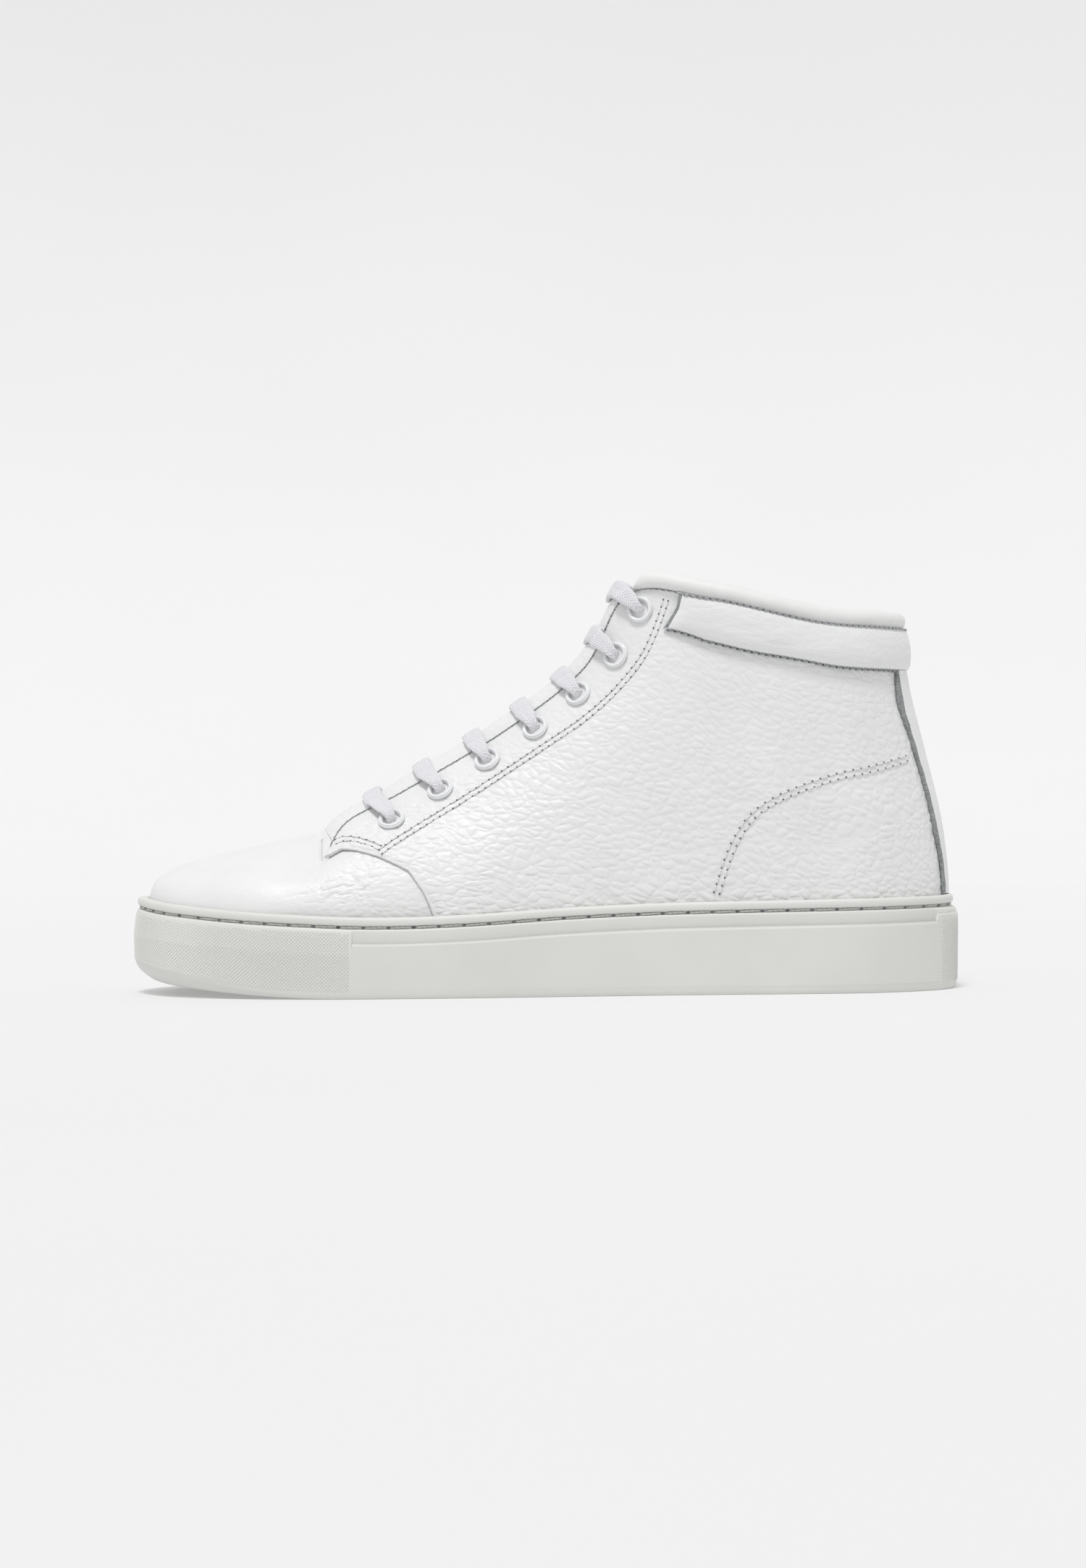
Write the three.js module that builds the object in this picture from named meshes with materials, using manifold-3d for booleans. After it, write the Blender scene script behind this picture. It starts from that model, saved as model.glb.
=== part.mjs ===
// Lace-up leather high top on a rubber cupsole, a left shoe, in millimetres.
// Toe towards -X, heel towards +X, outer (lateral) side towards -Y, +Z up.
// The ground is z = 0, and the origin is below the middle of the shoe's box.
import * as THREE from 'three';
import Module from 'manifold-3d';
import { mergeVertices } from 'three/addons/utils/BufferGeometryUtils.js';

const wasm = await Module();
wasm.setup();

// ---- driving dimensions ----------------------------------------------------------------
const GAP = 0.35; // clearance between pieces that touch on the real shoe
const LEATHER = 1.2; // thickness of the outer leather
const BACKING = 0.6; // thickness of the stiffening under it
const LINING = 0.7; // thickness of the lining leather
const BACKING_TOP = -LEATHER - GAP; // offsets from the outer surface, inwards is negative
const LINING_TOP = BACKING_TOP - BACKING - GAP;
const LINING_BOTTOM = LINING_TOP - LINING;
const WALL = 5.5; // thickness of the cupsole's wall at its widest, sides and toe
const HEEL_WALL = 4.1; // the same at the back of the heel
const FLOOR = 5.5; // thickness of the cupsole's floor
const LIP_TO_GROOVE = 3.5; // from the lip's top down to the stitched groove
const LIP_TO_LEDGE = 9.8; // and down to the edge where the wall turns vertical
const TOE_SPRING = 5; // rise of the sole's underside at the toe
const SPRING_START = -67; // where that rise starts
const BOARD = 1.4; // thickness of the lasting board
const FOOTBED = 3.6; // thickness of the sock liner
const COLLAR_PAD = 2.2; // how far the padded collar swells inwards
const BAND_BULGE = 1.7; // how far the collar band swells outwards
const EYELET_RADIUS = 4.85; // flange
const EYELET_BORE = 3.15; // free hole
const EYELET_ROWS = [[-54.3, 62.7], [-37, 73.3], [-20.1, 83.9], [-2.8, 95.1],
  [12.6, 107.2], [26.1, 120.9], [34.9, 137.1]]; // x, z of each eyelet's middle
const LACE_WIDTH = 7.6;
const LACE_THICKNESS = 1.3;
const LACE_PINCHED = 3.9; // width of the lace where it is folded into an eyelet
const UNDER_RUN_DEPTH = -5.1; // of the lace below the surface, between lining and tongue
const UNDER_RUN_DROP = 0.3; // rows from the holes to the lace that climbs beside them
const HEEL = 12; // station numbers around the shoe: 0 is the toe's middle, 12 the heel's
const STATIONS = 24;
const TOP = 5; // the highest row of the rails

// ---- the upper's outer surface -----------------------------------------------------------
// One rail for each station from the toe's middle along the outer side to the heel's middle.
// A rail climbs from inside the cupsole, over the lip, to the throat or to the top line.
// Each point is x, z, y on the outer side and y on the inner side.
const RAILS = [
  [[-143.9, 16, 6, 6], [-144.5, 35, 6, 6], [-138.8, 43.6, 5.6, 5.6],
    [-122, 49.6, 4.6, 4.6], [-101, 54.2, 3, 3], [-80, 60.6, 1, 1]],
  [[-133, 15.5, -23.5, 35], [-133.8, 33.4, -24.2, 35.6], [-127.6, 42.6, -20.5, 30.5],
    [-114.5, 48.4, -14.5, 22], [-98, 53, -9.5, 14], [-81, 59.4, -10, 12]],
  [[-112, 14.8, -39, 45], [-112.3, 31.2, -40, 46], [-108, 41.4, -35.8, 41],
    [-100.5, 47.6, -27.5, 32], [-91.5, 52, -21, 23.5], [-81.5, 56.2, -21, 22.5]],
  [[-88, 14.2, -46.5, 48.8], [-88.3, 29.6, -47.5, 49.1], [-87, 38.4, -44.8, 46.8],
    [-84.5, 44, -40.3, 42], [-81.5, 47.4, -36, 37.5], [-78.4, 50, -32, 33]],
  [[-60, 14, -48.5, 48.1], [-60, 28.5, -49.5, 49], [-61.5, 39, -47.8, 47.8],
    [-64.2, 48.5, -42.4, 42.5], [-67.4, 56, -34.6, 34.8], [-70.7, 62, -25.5, 26]],
  [[-28, 14, -46.5, 44], [-28, 29.2, -47.5, 45], [-31, 43, -46, 44.2],
    [-36.5, 56, -40, 39.4], [-43.8, 66, -30.8, 30.8], [-51, 72.6, -20, 20.4]],
  [[6, 14, -42.5, 38.5], [6, 31.2, -43.5, 39.5], [4, 50, -42.4, 39.8],
    [-1, 68, -38, 37], [-7.8, 83, -30, 30], [-14.5, 94, -19, 19.4]],
  [[38, 14, -39, 36], [38, 32.4, -39.8, 37], [37, 57, -39.4, 37.8],
    [33, 82, -37.5, 36.8], [25, 103, -31.5, 31.5], [14.5, 116.6, -19.5, 19.8]],
  [[66, 14, -37.5, 35.3], [66, 32.9, -38.2, 36.2], [65, 60, -38.2, 37],
    [60, 90, -37, 36.6], [48.5, 120, -33, 33], [30.7, 143.2, -23, 23]],
  [[92, 14, -36.7, 35.5], [92, 33.2, -37.5, 36.3], [90, 61, -37.6, 36.8],
    [86, 90, -36.4, 36], [77, 117, -35.5, 35.2], [60, 140.6, -33.8, 33.8]],
  [[118, 14, -32.5, 31.5], [118.5, 33.5, -33.4, 32.6], [117, 60, -32.4, 32],
    [113, 87, -31, 31], [106.5, 111, -31.6, 31.6], [97, 132, -33, 33]],
  [[137.5, 14, -19.5, 19], [139, 33.8, -19.8, 19.4], [137, 60, -18.4, 18.2],
    [131.5, 87, -17, 17], [125.4, 110, -18.2, 18.2], [121.8, 130.2, -20, 20]],
  [[144, 14, 0, 0], [145.9, 34, 0, 0], [143.6, 60, 0, 0],
    [137.6, 86, 0, 0], [132, 110, 0, 0], [130.2, 130.2, 0, 0]],
];

// Outlines in the side view, x and z, that cut the pieces out of that surface.
const QUARTER_FRONT = [[-39, -5], [-39, 28.8], [-42.2, 37], [-47.8, 45.3], [-59, 50.6],
  [-66.9, 52.7], [-72, 53], [-76.5, 50.4], [-80, 48.6]];
const VAMP_BACK = [[-31, -5], [-31, 28], [-34.5, 39], [-41, 48], [-52, 55], [-63, 57.5],
  [-71, 56.5], [-76.8, 52.5], [-77.8, 56]];
const LINING_FRONT = [[-30.2, -5], [-30.2, 28], [-33.8, 39.4], [-40.5, 48.8], [-51.8, 55.8],
  [-63, 58.3], [-71.3, 57.3], [-76.8, 53.6], [-77, 60]];
const FACING_BACK = [[-62, 49.5], [-59, 51], [-42.8, 61.5], [-27.3, 71], [-11.9, 80.8],
  [2.8, 90.4], [13.1, 97.3], [22.5, 105.2], [30.4, 113.7], [36, 121.4], [40.3, 129.7],
  [44, 139], [46, 150]];
const BAND_EDGE = [[49.4, 143.2], [45.1, 135.1], [43.6, 130.1], [57.9, 125.8],
  [77.7, 121.1], [93.9, 118.3], [111.8, 115.7], [126.8, 115.2]];
const COUNTER_EDGE = [[66, 0], [66, 41], [69, 50], [74, 58.5], [80, 64], [90, 69],
  [105, 73.5], [120, 77], [150, 80]];
const PUFF_BACK = -112; // x of the toe puff's back edge

// ---- curves and surfaces -------------------------------------------------------------------
const vector = (x, y, z) => new THREE.Vector3(x, y, z);
const lerp = (a, b, t) => a + (b - a) * t;

function smoothstep(from, to, x) {
  const t = Math.min(1, Math.max(0, (x - from) / (to - from)));
  return t * t * (3 - 2 * t);
}

function catmull(a, b, c, d, t) {
  const point = (k) => 0.5 * (2 * b[k] + (c[k] - a[k]) * t
    + (2 * a[k] - 5 * b[k] + 4 * c[k] - d[k]) * t * t
    + (3 * b[k] - a[k] - 3 * c[k] + d[k]) * t * t * t);
  return [point(0), point(1), point(2)];
}

function along(points, t) {
  // A smooth curve through the points, t counting from one to the next, bending on past its ends.
  const last = points.length - 1;
  const i = Math.min(last - 1, Math.max(0, Math.floor(t)));
  const beyond = (p, q, r) => p.map((x, k) => 3 * x - 3 * q[k] + r[k]);
  const before = i > 0 ? points[i - 1] : beyond(points[0], points[1], points[2]);
  const after = i + 2 <= last ? points[i + 2]
    : beyond(points[last], points[last - 1], points[last - 2]);
  return catmull(before, points[i], points[i + 1], after, t - i);
}

function station(index, row) {
  const i = ((index % STATIONS) + STATIONS) % STATIONS;
  const [x, z, outer, inner] = RAILS[i <= HEEL ? i : STATIONS - i][row];
  return [x, i <= HEEL ? outer : inner, z];
}

function ring(row, u) {
  const i = Math.floor(u);
  return catmull(station(i - 1, row), station(i, row), station(i + 1, row),
    station(i + 2, row), u - i);
}

function surface(u, v) {
  const rows = [];
  for (let row = 0; row <= TOP; row += 1) {
    rows.push(ring(row, u));
  }
  return vector(...along(rows, v));
}

function skinFrame(u, v) {
  const e = 0.02;
  const du = surface(u + e, v).sub(surface(u - e, v)).normalize();
  const dv = surface(u, Math.min(v + e, TOP)).sub(surface(u, Math.min(v, TOP - e) - e)).normalize();
  return { du, dv, normal: du.clone().cross(dv).normalize() };
}

function skin(u, v, offset) {
  return surface(u, v).addScaledVector(skinFrame(u, v).normal, offset);
}

// ---- making closed meshes --------------------------------------------------------------------
function solid(points, faces) {
  const geometry = new THREE.BufferGeometry();
  geometry.setAttribute('position', new THREE.Float32BufferAttribute(
    points.flatMap((p) => [p.x, p.y, p.z]), 3));
  geometry.setIndex(faces.flat());
  let volume = 0;
  faces.forEach(([a, b, c]) => {
    volume += points[a].dot(points[b].clone().cross(points[c]));
  });
  if (volume < 0) {
    geometry.setIndex(faces.map(([a, b, c]) => [a, c, b]).flat());
  }
  return geometry;
}

function steps(from, to, step) {
  // The ends, and every multiple of the step between them.
  const list = [from];
  for (let x = Math.ceil((from + step * 0.2) / step) * step; x < to - step * 0.2; x += step) {
    list.push(x);
  }
  return [...list, to];
}

function slab({ u, v, outer, inner }, place = skin) {
  // A sheet with thickness over the rows of u and v, between two offsets from the surface.
  // u and v are lists of values, and the offsets are functions of u and v.
  const closed = u[u.length - 1] - u[0] === STATIONS;
  const columns = closed ? u.slice(0, -1) : u;
  const points = [];
  const rows = v.length;
  const depth = columns.length * rows;
  [outer, inner].forEach((offset) => {
    columns.forEach((a) => v.forEach((b) => points.push(place(a, b, offset(a, b)))));
  });
  const faces = [];
  const quad = (a, b, c, d) => faces.push([a, b, c], [a, c, d]);
  const at = (i, j) => (i % columns.length) * rows + j;
  const spans = closed ? columns.length : columns.length - 1;
  for (let i = 0; i < spans; i += 1) {
    for (let j = 0; j < rows - 1; j += 1) {
      quad(at(i, j), at(i + 1, j), at(i + 1, j + 1), at(i, j + 1));
      quad(depth + at(i, j), depth + at(i, j + 1), depth + at(i + 1, j + 1), depth + at(i + 1, j));
    }
    quad(at(i + 1, 0), at(i, 0), depth + at(i, 0), depth + at(i + 1, 0));
    quad(at(i, rows - 1), at(i + 1, rows - 1), depth + at(i + 1, rows - 1), depth + at(i, rows - 1));
  }
  if (!closed) {
    const end = columns.length - 1;
    for (let j = 0; j < rows - 1; j += 1) {
      quad(at(0, j), at(0, j + 1), depth + at(0, j + 1), depth + at(0, j));
      quad(at(end, j + 1), at(end, j), depth + at(end, j), depth + at(end, j + 1));
    }
  }
  return solid(points, faces);
}

function toManifold(geometry) {
  const bare = geometry.clone();
  Object.keys(bare.attributes).filter((name) => name !== 'position')
    .forEach((name) => bare.deleteAttribute(name));
  const merged = mergeVertices(bare, 1e-5);
  return new wasm.Manifold(new wasm.Mesh({
    numProp: 3,
    vertProperties: new Float32Array(merged.attributes.position.array),
    triVerts: new Uint32Array(merged.index.array),
  }));
}

function fromManifold(manifold) {
  const mesh = manifold.getMesh();
  const geometry = new THREE.BufferGeometry();
  geometry.setAttribute('position', new THREE.BufferAttribute(
    new Float32Array(mesh.vertProperties), 3));
  geometry.setIndex(new THREE.BufferAttribute(new Uint32Array(mesh.triVerts), 1));
  return geometry;
}

function cut(geometry, cutters, keep = []) {
  let body = toManifold(geometry);
  keep.forEach((cutter) => {
    body = body.intersect(toManifold(cutter));
  });
  cutters.forEach((cutter) => {
    body = body.subtract(toManifold(cutter));
  });
  return fromManifold(body);
}

function prism(outline, low = -90, high = 90) {
  // A side-view outline, given as x and z, drawn out along y from low to high.
  const shape = new THREE.Shape(outline.map(([x, z]) => new THREE.Vector2(x, z)));
  const geometry = new THREE.ExtrudeGeometry(shape, { depth: high - low, bevelEnabled: false });
  return geometry.rotateX(Math.PI / 2).translate(0, high, 0);
}

function sideRange(side) {
  return side < 0 ? [-90, 0] : [0, 90];
}

// ---- cupsole -----------------------------------------------------------------------------------
const SOLE_STEP = 0.5;

function planNormal(u) {
  const e = 0.02;
  const a = ring(1, u - e);
  const b = ring(1, u + e);
  return vector(b[1] - a[1], a[0] - b[0], 0).normalize();
}

function soleUnderside(x) {
  return x < SPRING_START ? TOE_SPRING * ((SPRING_START - x) / 75) ** 1.7 : 0;
}

function fromHeel(u) {
  return Math.abs(u - HEEL);
}

function outwards(u, row, distance, z) {
  const base = ring(row, u);
  const normal = planNormal(u);
  return vector(base[0] + normal.x * distance, base[1] + normal.y * distance, z);
}

function cupProfile(u) {
  const lip = ring(1, u)[2];
  const wall = lerp(HEEL_WALL, WALL, smoothstep(0.5, 2.5, fromHeel(u)));
  const toe = 1 - smoothstep(0, 3, Math.min(u, STATIONS - u));
  const foot = outwards(u, 1, wall - 1.2 - 6 * toe, 0);
  const under = soleUnderside(foot.x);
  const groove = lip - LIP_TO_GROOVE;
  const ledge = lip - LIP_TO_LEDGE;
  const outside = [
    [wall - 1.2 - 6 * toe, under], [wall - 0.3, under + 1.4 + 4.4 * toe],
    [wall, under + 4 + 4 * toe], [wall, ledge - 0.6], [wall - 0.9, ledge],
    [wall - 1.6, groove - 0.8], [wall - 2.5, groove], [wall - 1.6, groove + 0.8],
    [wall - 1.5, lip - 1.1], [wall - 2.2, lip],
  ].map(([distance, z]) => outwards(u, 1, distance, z));
  const seat = skin(u, 0, GAP);
  const floor = soleUnderside(ring(0, u)[0]) + FLOOR;
  return [...outside, skin(u, 1, GAP), skin(u, 0.5, GAP), seat, vector(seat.x, seat.y, floor)];
}

function ladder(columns, index) {
  // Faces that close a loop of columns by joining the two sides of the shoe rung by rung.
  const faces = [];
  const half = columns / 2;
  for (let i = 0; i < half; i += 1) {
    const a = index(i);
    const b = index(i + 1);
    const c = index((columns - i - 1) % columns);
    const d = index((columns - i) % columns);
    if (i > 0) {
      faces.push([a, b, d]);
    }
    if (i < half - 1) {
      faces.push([b, c, d]);
    }
  }
  return faces;
}

function loft(profile, columns) {
  // A closed body whose profile, from the middle of its underside round to the middle of its
  // upper side, is given for each column around the shoe.
  const points = [];
  for (let i = 0; i < columns; i += 1) {
    points.push(...profile(i * STATIONS / columns));
  }
  const rows = points.length / columns;
  const faces = [];
  for (let i = 0; i < columns; i += 1) {
    const next = (i + 1) % columns;
    for (let j = 0; j < rows - 1; j += 1) {
      faces.push([i * rows + j, next * rows + j, next * rows + j + 1]);
      faces.push([i * rows + j, next * rows + j + 1, i * rows + j + 1]);
    }
  }
  const bottom = ladder(columns, (i) => (i % columns) * rows);
  const top = ladder(columns, (i) => (i % columns) * rows + rows - 1);
  return solid(points, [...faces, ...bottom.map(([a, b, c]) => [a, c, b]), ...top]);
}

function plate(inset, low, high) {
  // A flat layer inside the cupsole, inset from the upper's outer surface.
  return loft((u) => [outwards(u, 0, -inset, low(u)), outwards(u, 0, -inset, high(u))],
    STATIONS / SOLE_STEP);
}

const upperFoot = (u) => ring(0, u)[2];
const cupFloor = (u) => soleUnderside(ring(0, u)[0]) + FLOOR;

// ---- tongue ------------------------------------------------------------------------------------
// The tongue's ridge, x and z, at stations 3 to 9 of the throat.
const RIDGE = [[-80.5, 57.6], [-72.8, 65.4], [-53.4, 76.4], [-17, 98], [11.6, 119.6],
  [27, 144.8], [34, 168]];
const TONGUE_FROM = 3.5;
const TONGUE_TO = 8.1;
const TONGUE_LEATHER = 1.1;
const TONGUE_FOAM = 2.4;
const TONGUE_LINING = 0.8;

function tongueSurface(u, s) {
  // s runs across the tongue: 0 on the ridge, -1 and 1 under the facings' edges, -3 and 3 its sides.
  const [x, , z] = along(RIDGE.map(([a, b]) => [a, 0, b]), u - 3);
  const side = (v, offset, way) => skin(way < 0 ? u : STATIONS - u, v, offset).toArray();
  const points = [
    side(3.95, -7.8, -1), side(4.4, -7.5, -1), side(5, -5.9, -1), [x, 0, z],
    side(5, -5.9, 1), side(4.4, -7.5, 1), side(3.95, -7.8, 1),
  ];
  return vector(...along(points, s + 3));
}

function tongueFrame(u, s) {
  const e = 0.03;
  const du = tongueSurface(u + e, s).sub(tongueSurface(u - e, s)).normalize();
  const ds = tongueSurface(u, s + e).sub(tongueSurface(u, s - e)).normalize();
  return { du, ds, normal: ds.clone().cross(du).normalize().negate() };
}

function tongueSkin(u, s, offset) {
  return tongueSurface(u, s).addScaledVector(tongueFrame(u, s).normal, offset);
}

function tongueLayer(top, thickness, reach, from, to) {
  return slab({
    u: steps(from, to, 0.5),
    v: steps(-reach, reach, 0.6),
    outer: () => top,
    inner: () => top - thickness,
  }, tongueSkin);
}

// ---- eyelets and lace ----------------------------------------------------------------------------
function locate(x, z) {
  // The station and row on the outer side whose side view is at x, z.
  let u = 6;
  let v = 4.3;
  for (let round = 0; round < 40; round += 1) {
    const p = surface(u, v);
    const e = 0.01;
    const pu = surface(u + e, v).sub(p).multiplyScalar(1 / e);
    const pv = surface(u, v + e).sub(p).multiplyScalar(1 / e);
    const det = pu.x * pv.z - pu.z * pv.x;
    u += ((x - p.x) * pv.z - (z - p.z) * pv.x) / det * 0.7;
    v += ((z - p.z) * pu.x - (x - p.x) * pu.z) / det * 0.7;
  }
  return { u, v };
}

const holes = EYELET_ROWS.map(([x, z]) => locate(x, z));

function eyeletFrame(row, side) {
  const { u, v } = holes[row];
  const place = side < 0 ? u : STATIONS - u;
  const { du, dv, normal } = skinFrame(place, v);
  return {
    place,
    centre: surface(place, v),
    normal,
    inwards: dv,
    up: side < 0 ? du : du.negate(),
  };
}

function turnedTo(geometry, { centre, normal }) {
  // A piece made round the y axis, moved to an eyelet with y along the surface's normal.
  const turn = new THREE.Quaternion().setFromUnitVectors(vector(0, 1, 0), normal);
  return geometry.applyQuaternion(turn).translate(centre.x, centre.y, centre.z);
}

function eyelet(frame) {
  const bore = EYELET_BORE;
  const tail = LINING_BOTTOM;
  const profile = [[bore, tail - 1], [bore + 1, tail - 0.9], [bore + 0.5, tail - 0.55],
    [bore + 0.5, 0.6], [EYELET_RADIUS, 0.6], [EYELET_RADIUS - 0.5, 1.4], [bore, 1.15],
    [bore, tail - 1]];
  const points = profile.map(([r, h]) => new THREE.Vector2(r, h));
  return turnedTo(new THREE.LatheGeometry(points, 10), frame);
}

function eyeletHole(frame) {
  return turnedTo(new THREE.CylinderGeometry(EYELET_BORE + 0.9, EYELET_BORE + 0.9, 16, 10), frame);
}

const SIDES = { lateral: -1, medial: 1 };
const holeCutters = (side) => EYELET_ROWS.map((_, row) => eyeletHole(eyeletFrame(row, side)));

function knot(point, across, width = LACE_WIDTH, thickness = LACE_THICKNESS) {
  return { point, across, width, thickness };
}

function throughEyelet(row, side) {
  // From above the facing's edge, over the flange, down the hole and out below it.
  const f = eyeletFrame(row, side);
  const edge = skinFrame(f.place, TOP);
  const rim = surface(f.place, TOP);
  const over = (inwards, height) => f.centre.clone().addScaledVector(f.inwards, inwards)
    .addScaledVector(f.normal, height);
  const pinch = LACE_PINCHED;
  return [
    knot(rim.clone().addScaledVector(edge.normal, 1.7).addScaledVector(edge.dv, 1.2), f.up, 7.2),
    knot(over(5.2, 2.5), f.up, 6.4, 1.5),
    knot(over(2.1, 2.6), f.up, 4.6, 1.8),
    knot(over(0.2, 1.2), f.up, pinch, 2),
    knot(over(0, -1.2), f.up, pinch, 2),
    knot(over(0.1, -3.4), f.up, pinch, 1.8),
  ];
}

function besideHole(row, side, along) {
  // Below the hole, turning from across the shoe to run up it (along 1) or back (along -1).
  const f = eyeletFrame(row, side);
  const below = (inwards, up) => f.centre.clone().addScaledVector(f.normal, UNDER_RUN_DEPTH)
    .addScaledVector(f.inwards, inwards).addScaledVector(f.up, up);
  return [
    knot(below(-2, 0), f.up, 4.4, 1.4),
    knot(below(-4.6, 1.5 * along), f.up.clone().addScaledVector(f.inwards, along).normalize(), 4.6, 1.4),
  ];
}

function underRun(row, side) {
  // Between the lining and the tongue, from one hole to the next above it.
  const between = (t) => {
    const u = lerp(holes[row].u, holes[row + 1].u, t);
    const v = lerp(holes[row].v, holes[row + 1].v, t) - UNDER_RUN_DROP;
    const place = side < 0 ? u : STATIONS - u;
    return knot(skin(place, v, UNDER_RUN_DEPTH), skinFrame(place, v).dv, 5, 1.4);
  };
  return [...besideHole(row, side, 1), between(0.4), between(0.6),
    ...besideHole(row + 1, side, -1).reverse()];
}

function barAcross(row, from) {
  // Over the ridge of the tongue at one row, starting on the given side.
  const { u } = holes[row];
  return [[0.85, 1.5], [0.42, 1.3], [0, 1.25], [-0.42, 1.3], [-0.85, 1.5]].map(([s, height]) => {
    const { du, normal } = tongueFrame(u, s * from);
    return knot(tongueSurface(u, s * from).addScaledVector(normal, height), du);
  });
}

// Where each end is tucked away inside, as stations, rows and depths below the surface.
const TUCKS = {
  lateral: [[5.05, 4, -5], [5.5, 3.7, -4.8], [6.2, 3.55, -4.7], [7, 3.5, -4.7], [7.8, 3.5, -4.7],
    [8.4, 3.35, -4.7], [8.7, 3, -4.7], [8.95, 2.6, -4.9], [9.1, 2.2, -5.4]],
  medial: [[8.25, 3.75, -5.1], [8.5, 3.4, -4.7], [8.75, 3, -4.6], [8.95, 2.6, -4.8],
    [9.1, 2.2, -5.4], [9.2, 1.8, -5.8]],
};

function tuckKnots(name) {
  return TUCKS[name].map(([u, v, depth]) => {
    const place = SIDES[name] < 0 ? u : STATIONS - u;
    return knot(skin(place, v, depth), skinFrame(place, v).dv, 5, 1.5);
  });
}

function lacePath() {
  // A bar straight across each row; under the facings the lace climbs from each bar to the next.
  const knots = [...tuckKnots('lateral').reverse(), besideHole(0, SIDES.lateral, 1)[0]];
  let side = SIDES.lateral;
  EYELET_ROWS.forEach((_, row) => {
    if (row > 0) knots.push(...underRun(row - 1, side));
    knots.push(...throughEyelet(row, side).reverse(), ...barAcross(row, side));
    side = -side;
    knots.push(...throughEyelet(row, side));
  });
  knots.push(besideHole(EYELET_ROWS.length - 1, side, 1)[0], ...tuckKnots('medial'));
  for (let i = 1; i < knots.length; i += 1) {
    if (knots[i].across.dot(knots[i - 1].across) < 0) knots[i].across.negate();
  }
  return knots;
}

function ribbon(knots, division) {
  // A flat lace along a smooth curve, an octagon across, its width along each knot's direction.
  const read = (get) => knots.map(get);
  const places = read((k) => k.point.toArray());
  const acrosses = read((k) => k.across.toArray());
  const sizes = read((k) => [k.width, k.thickness, 0]);
  const points = [];
  const count = (knots.length - 1) * division + 1;
  for (let i = 0; i < count; i += 1) {
    const t = Math.min(i / division, knots.length - 1 - 1e-9);
    const centre = vector(...along(places, t));
    const ahead = vector(...along(places, Math.min(t + 0.05, knots.length - 1)));
    const behind = vector(...along(places, Math.max(t - 0.05, 0)));
    const tangent = ahead.sub(behind).normalize();
    const wide = vector(...along(acrosses, t));
    wide.addScaledVector(tangent, -wide.dot(tangent)).normalize();
    const thick = tangent.clone().cross(wide);
    const [width, thickness] = along(sizes, t);
    for (let k = 0; k < 6; k += 1) {
      const angle = k * Math.PI / 3;
      points.push(centre.clone()
        .addScaledVector(wide, Math.cos(angle) * width / 2)
        .addScaledVector(thick, Math.sin(angle) * thickness / 2));
    }
  }
  const faces = [];
  for (let i = 0; i < count - 1; i += 1) {
    for (let k = 0; k < 6; k += 1) {
      const a = i * 6 + k;
      const b = i * 6 + (k + 1) % 6;
      faces.push([a, a + 6, b + 6], [a, b + 6, b]);
    }
  }
  const last = (count - 1) * 6;
  for (let k = 1; k < 5; k += 1) {
    faces.push([0, k, k + 1], [last, last + k + 1, last + k]);
  }
  return solid(points, faces);
}

function aglet(name) {
  // The stiff tip, in line with the last stretch of the lace.
  const [before, end] = tuckKnots(name).slice(-2).map((k) => k.point);
  const direction = end.clone().sub(before).normalize();
  const length = 13;
  const start = end.clone().addScaledVector(direction, GAP + length / 2);
  const turn = new THREE.Quaternion().setFromUnitVectors(vector(0, 1, 0), direction);
  const tip = new THREE.CylinderGeometry(1.2, 1.4, length, 10);
  return tip.applyQuaternion(turn).translate(start.x, start.y, start.z);
}

// ---- collar ---------------------------------------------------------------------------------------
function collarPad(u, v) {
  // How far the padding swells the collar inwards.
  const round = smoothstep(8.2, 9, u) * smoothstep(8.2, 9, STATIONS - u);
  const up = smoothstep(3.7, 4.4, v);
  return COLLAR_PAD * round * up;
}

function collarRoll() {
  // The rolled edge of the lining, an oval all the way round the top line.
  const columns = steps(8.12, STATIONS - 8.12, 0.5);
  const points = [];
  const count = 10;
  columns.forEach((u, i) => {
    const rim = surface(u, TOP);
    const outward = planNormalTop(u);
    const ends = Math.min(i, columns.length - 1 - i);
    const size = ends === 0 ? 0.72 : 1;
    for (let k = 0; k < count; k += 1) {
      const angle = k * 2 * Math.PI / count;
      points.push(rim.clone()
        .addScaledVector(outward, -1.9 + Math.cos(angle) * 3.9 * size)
        .add(vector(0, 0, 0.7 + 2.9 + Math.sin(angle) * 2.9 * size)));
    }
  });
  const faces = [];
  for (let i = 0; i < columns.length - 1; i += 1) {
    for (let k = 0; k < count; k += 1) {
      const a = i * count + k;
      const b = i * count + (k + 1) % count;
      faces.push([a, a + count, b + count], [a, b + count, b]);
    }
  }
  const last = (columns.length - 1) * count;
  for (let k = 1; k < count - 1; k += 1) {
    faces.push([0, k, k + 1], [last, last + k + 1, last + k]);
  }
  return solid(points, faces);
}

function planNormalTop(u) {
  const e = 0.05;
  const a = ring(TOP, u - e);
  const b = ring(TOP, u + e);
  return vector(b[1] - a[1], a[0] - b[0], 0).normalize();
}

// ---- materials and assembly ---------------------------------------------------------------------
function material(colour, roughness, metalness = 0) {
  return new THREE.MeshStandardMaterial({ color: colour, roughness, metalness });
}

const white = material(0xf2f2f1, 0.5);
const liningLeather = material(0xe9e6df, 0.7);
const rubber = material(0xdfe0da, 0.6);
const foam = material(0xe8dfb8, 0.9);
const board = material(0xc9b48c, 0.9);
const stiffener = material(0xd8d2c4, 0.8);
const enamel = material(0xf0f1f3, 0.3);
const cotton = material(0xf0eff4, 0.9);
const plastic = material(0xf2f2f2, 0.4);

const group = new THREE.Group();

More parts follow.
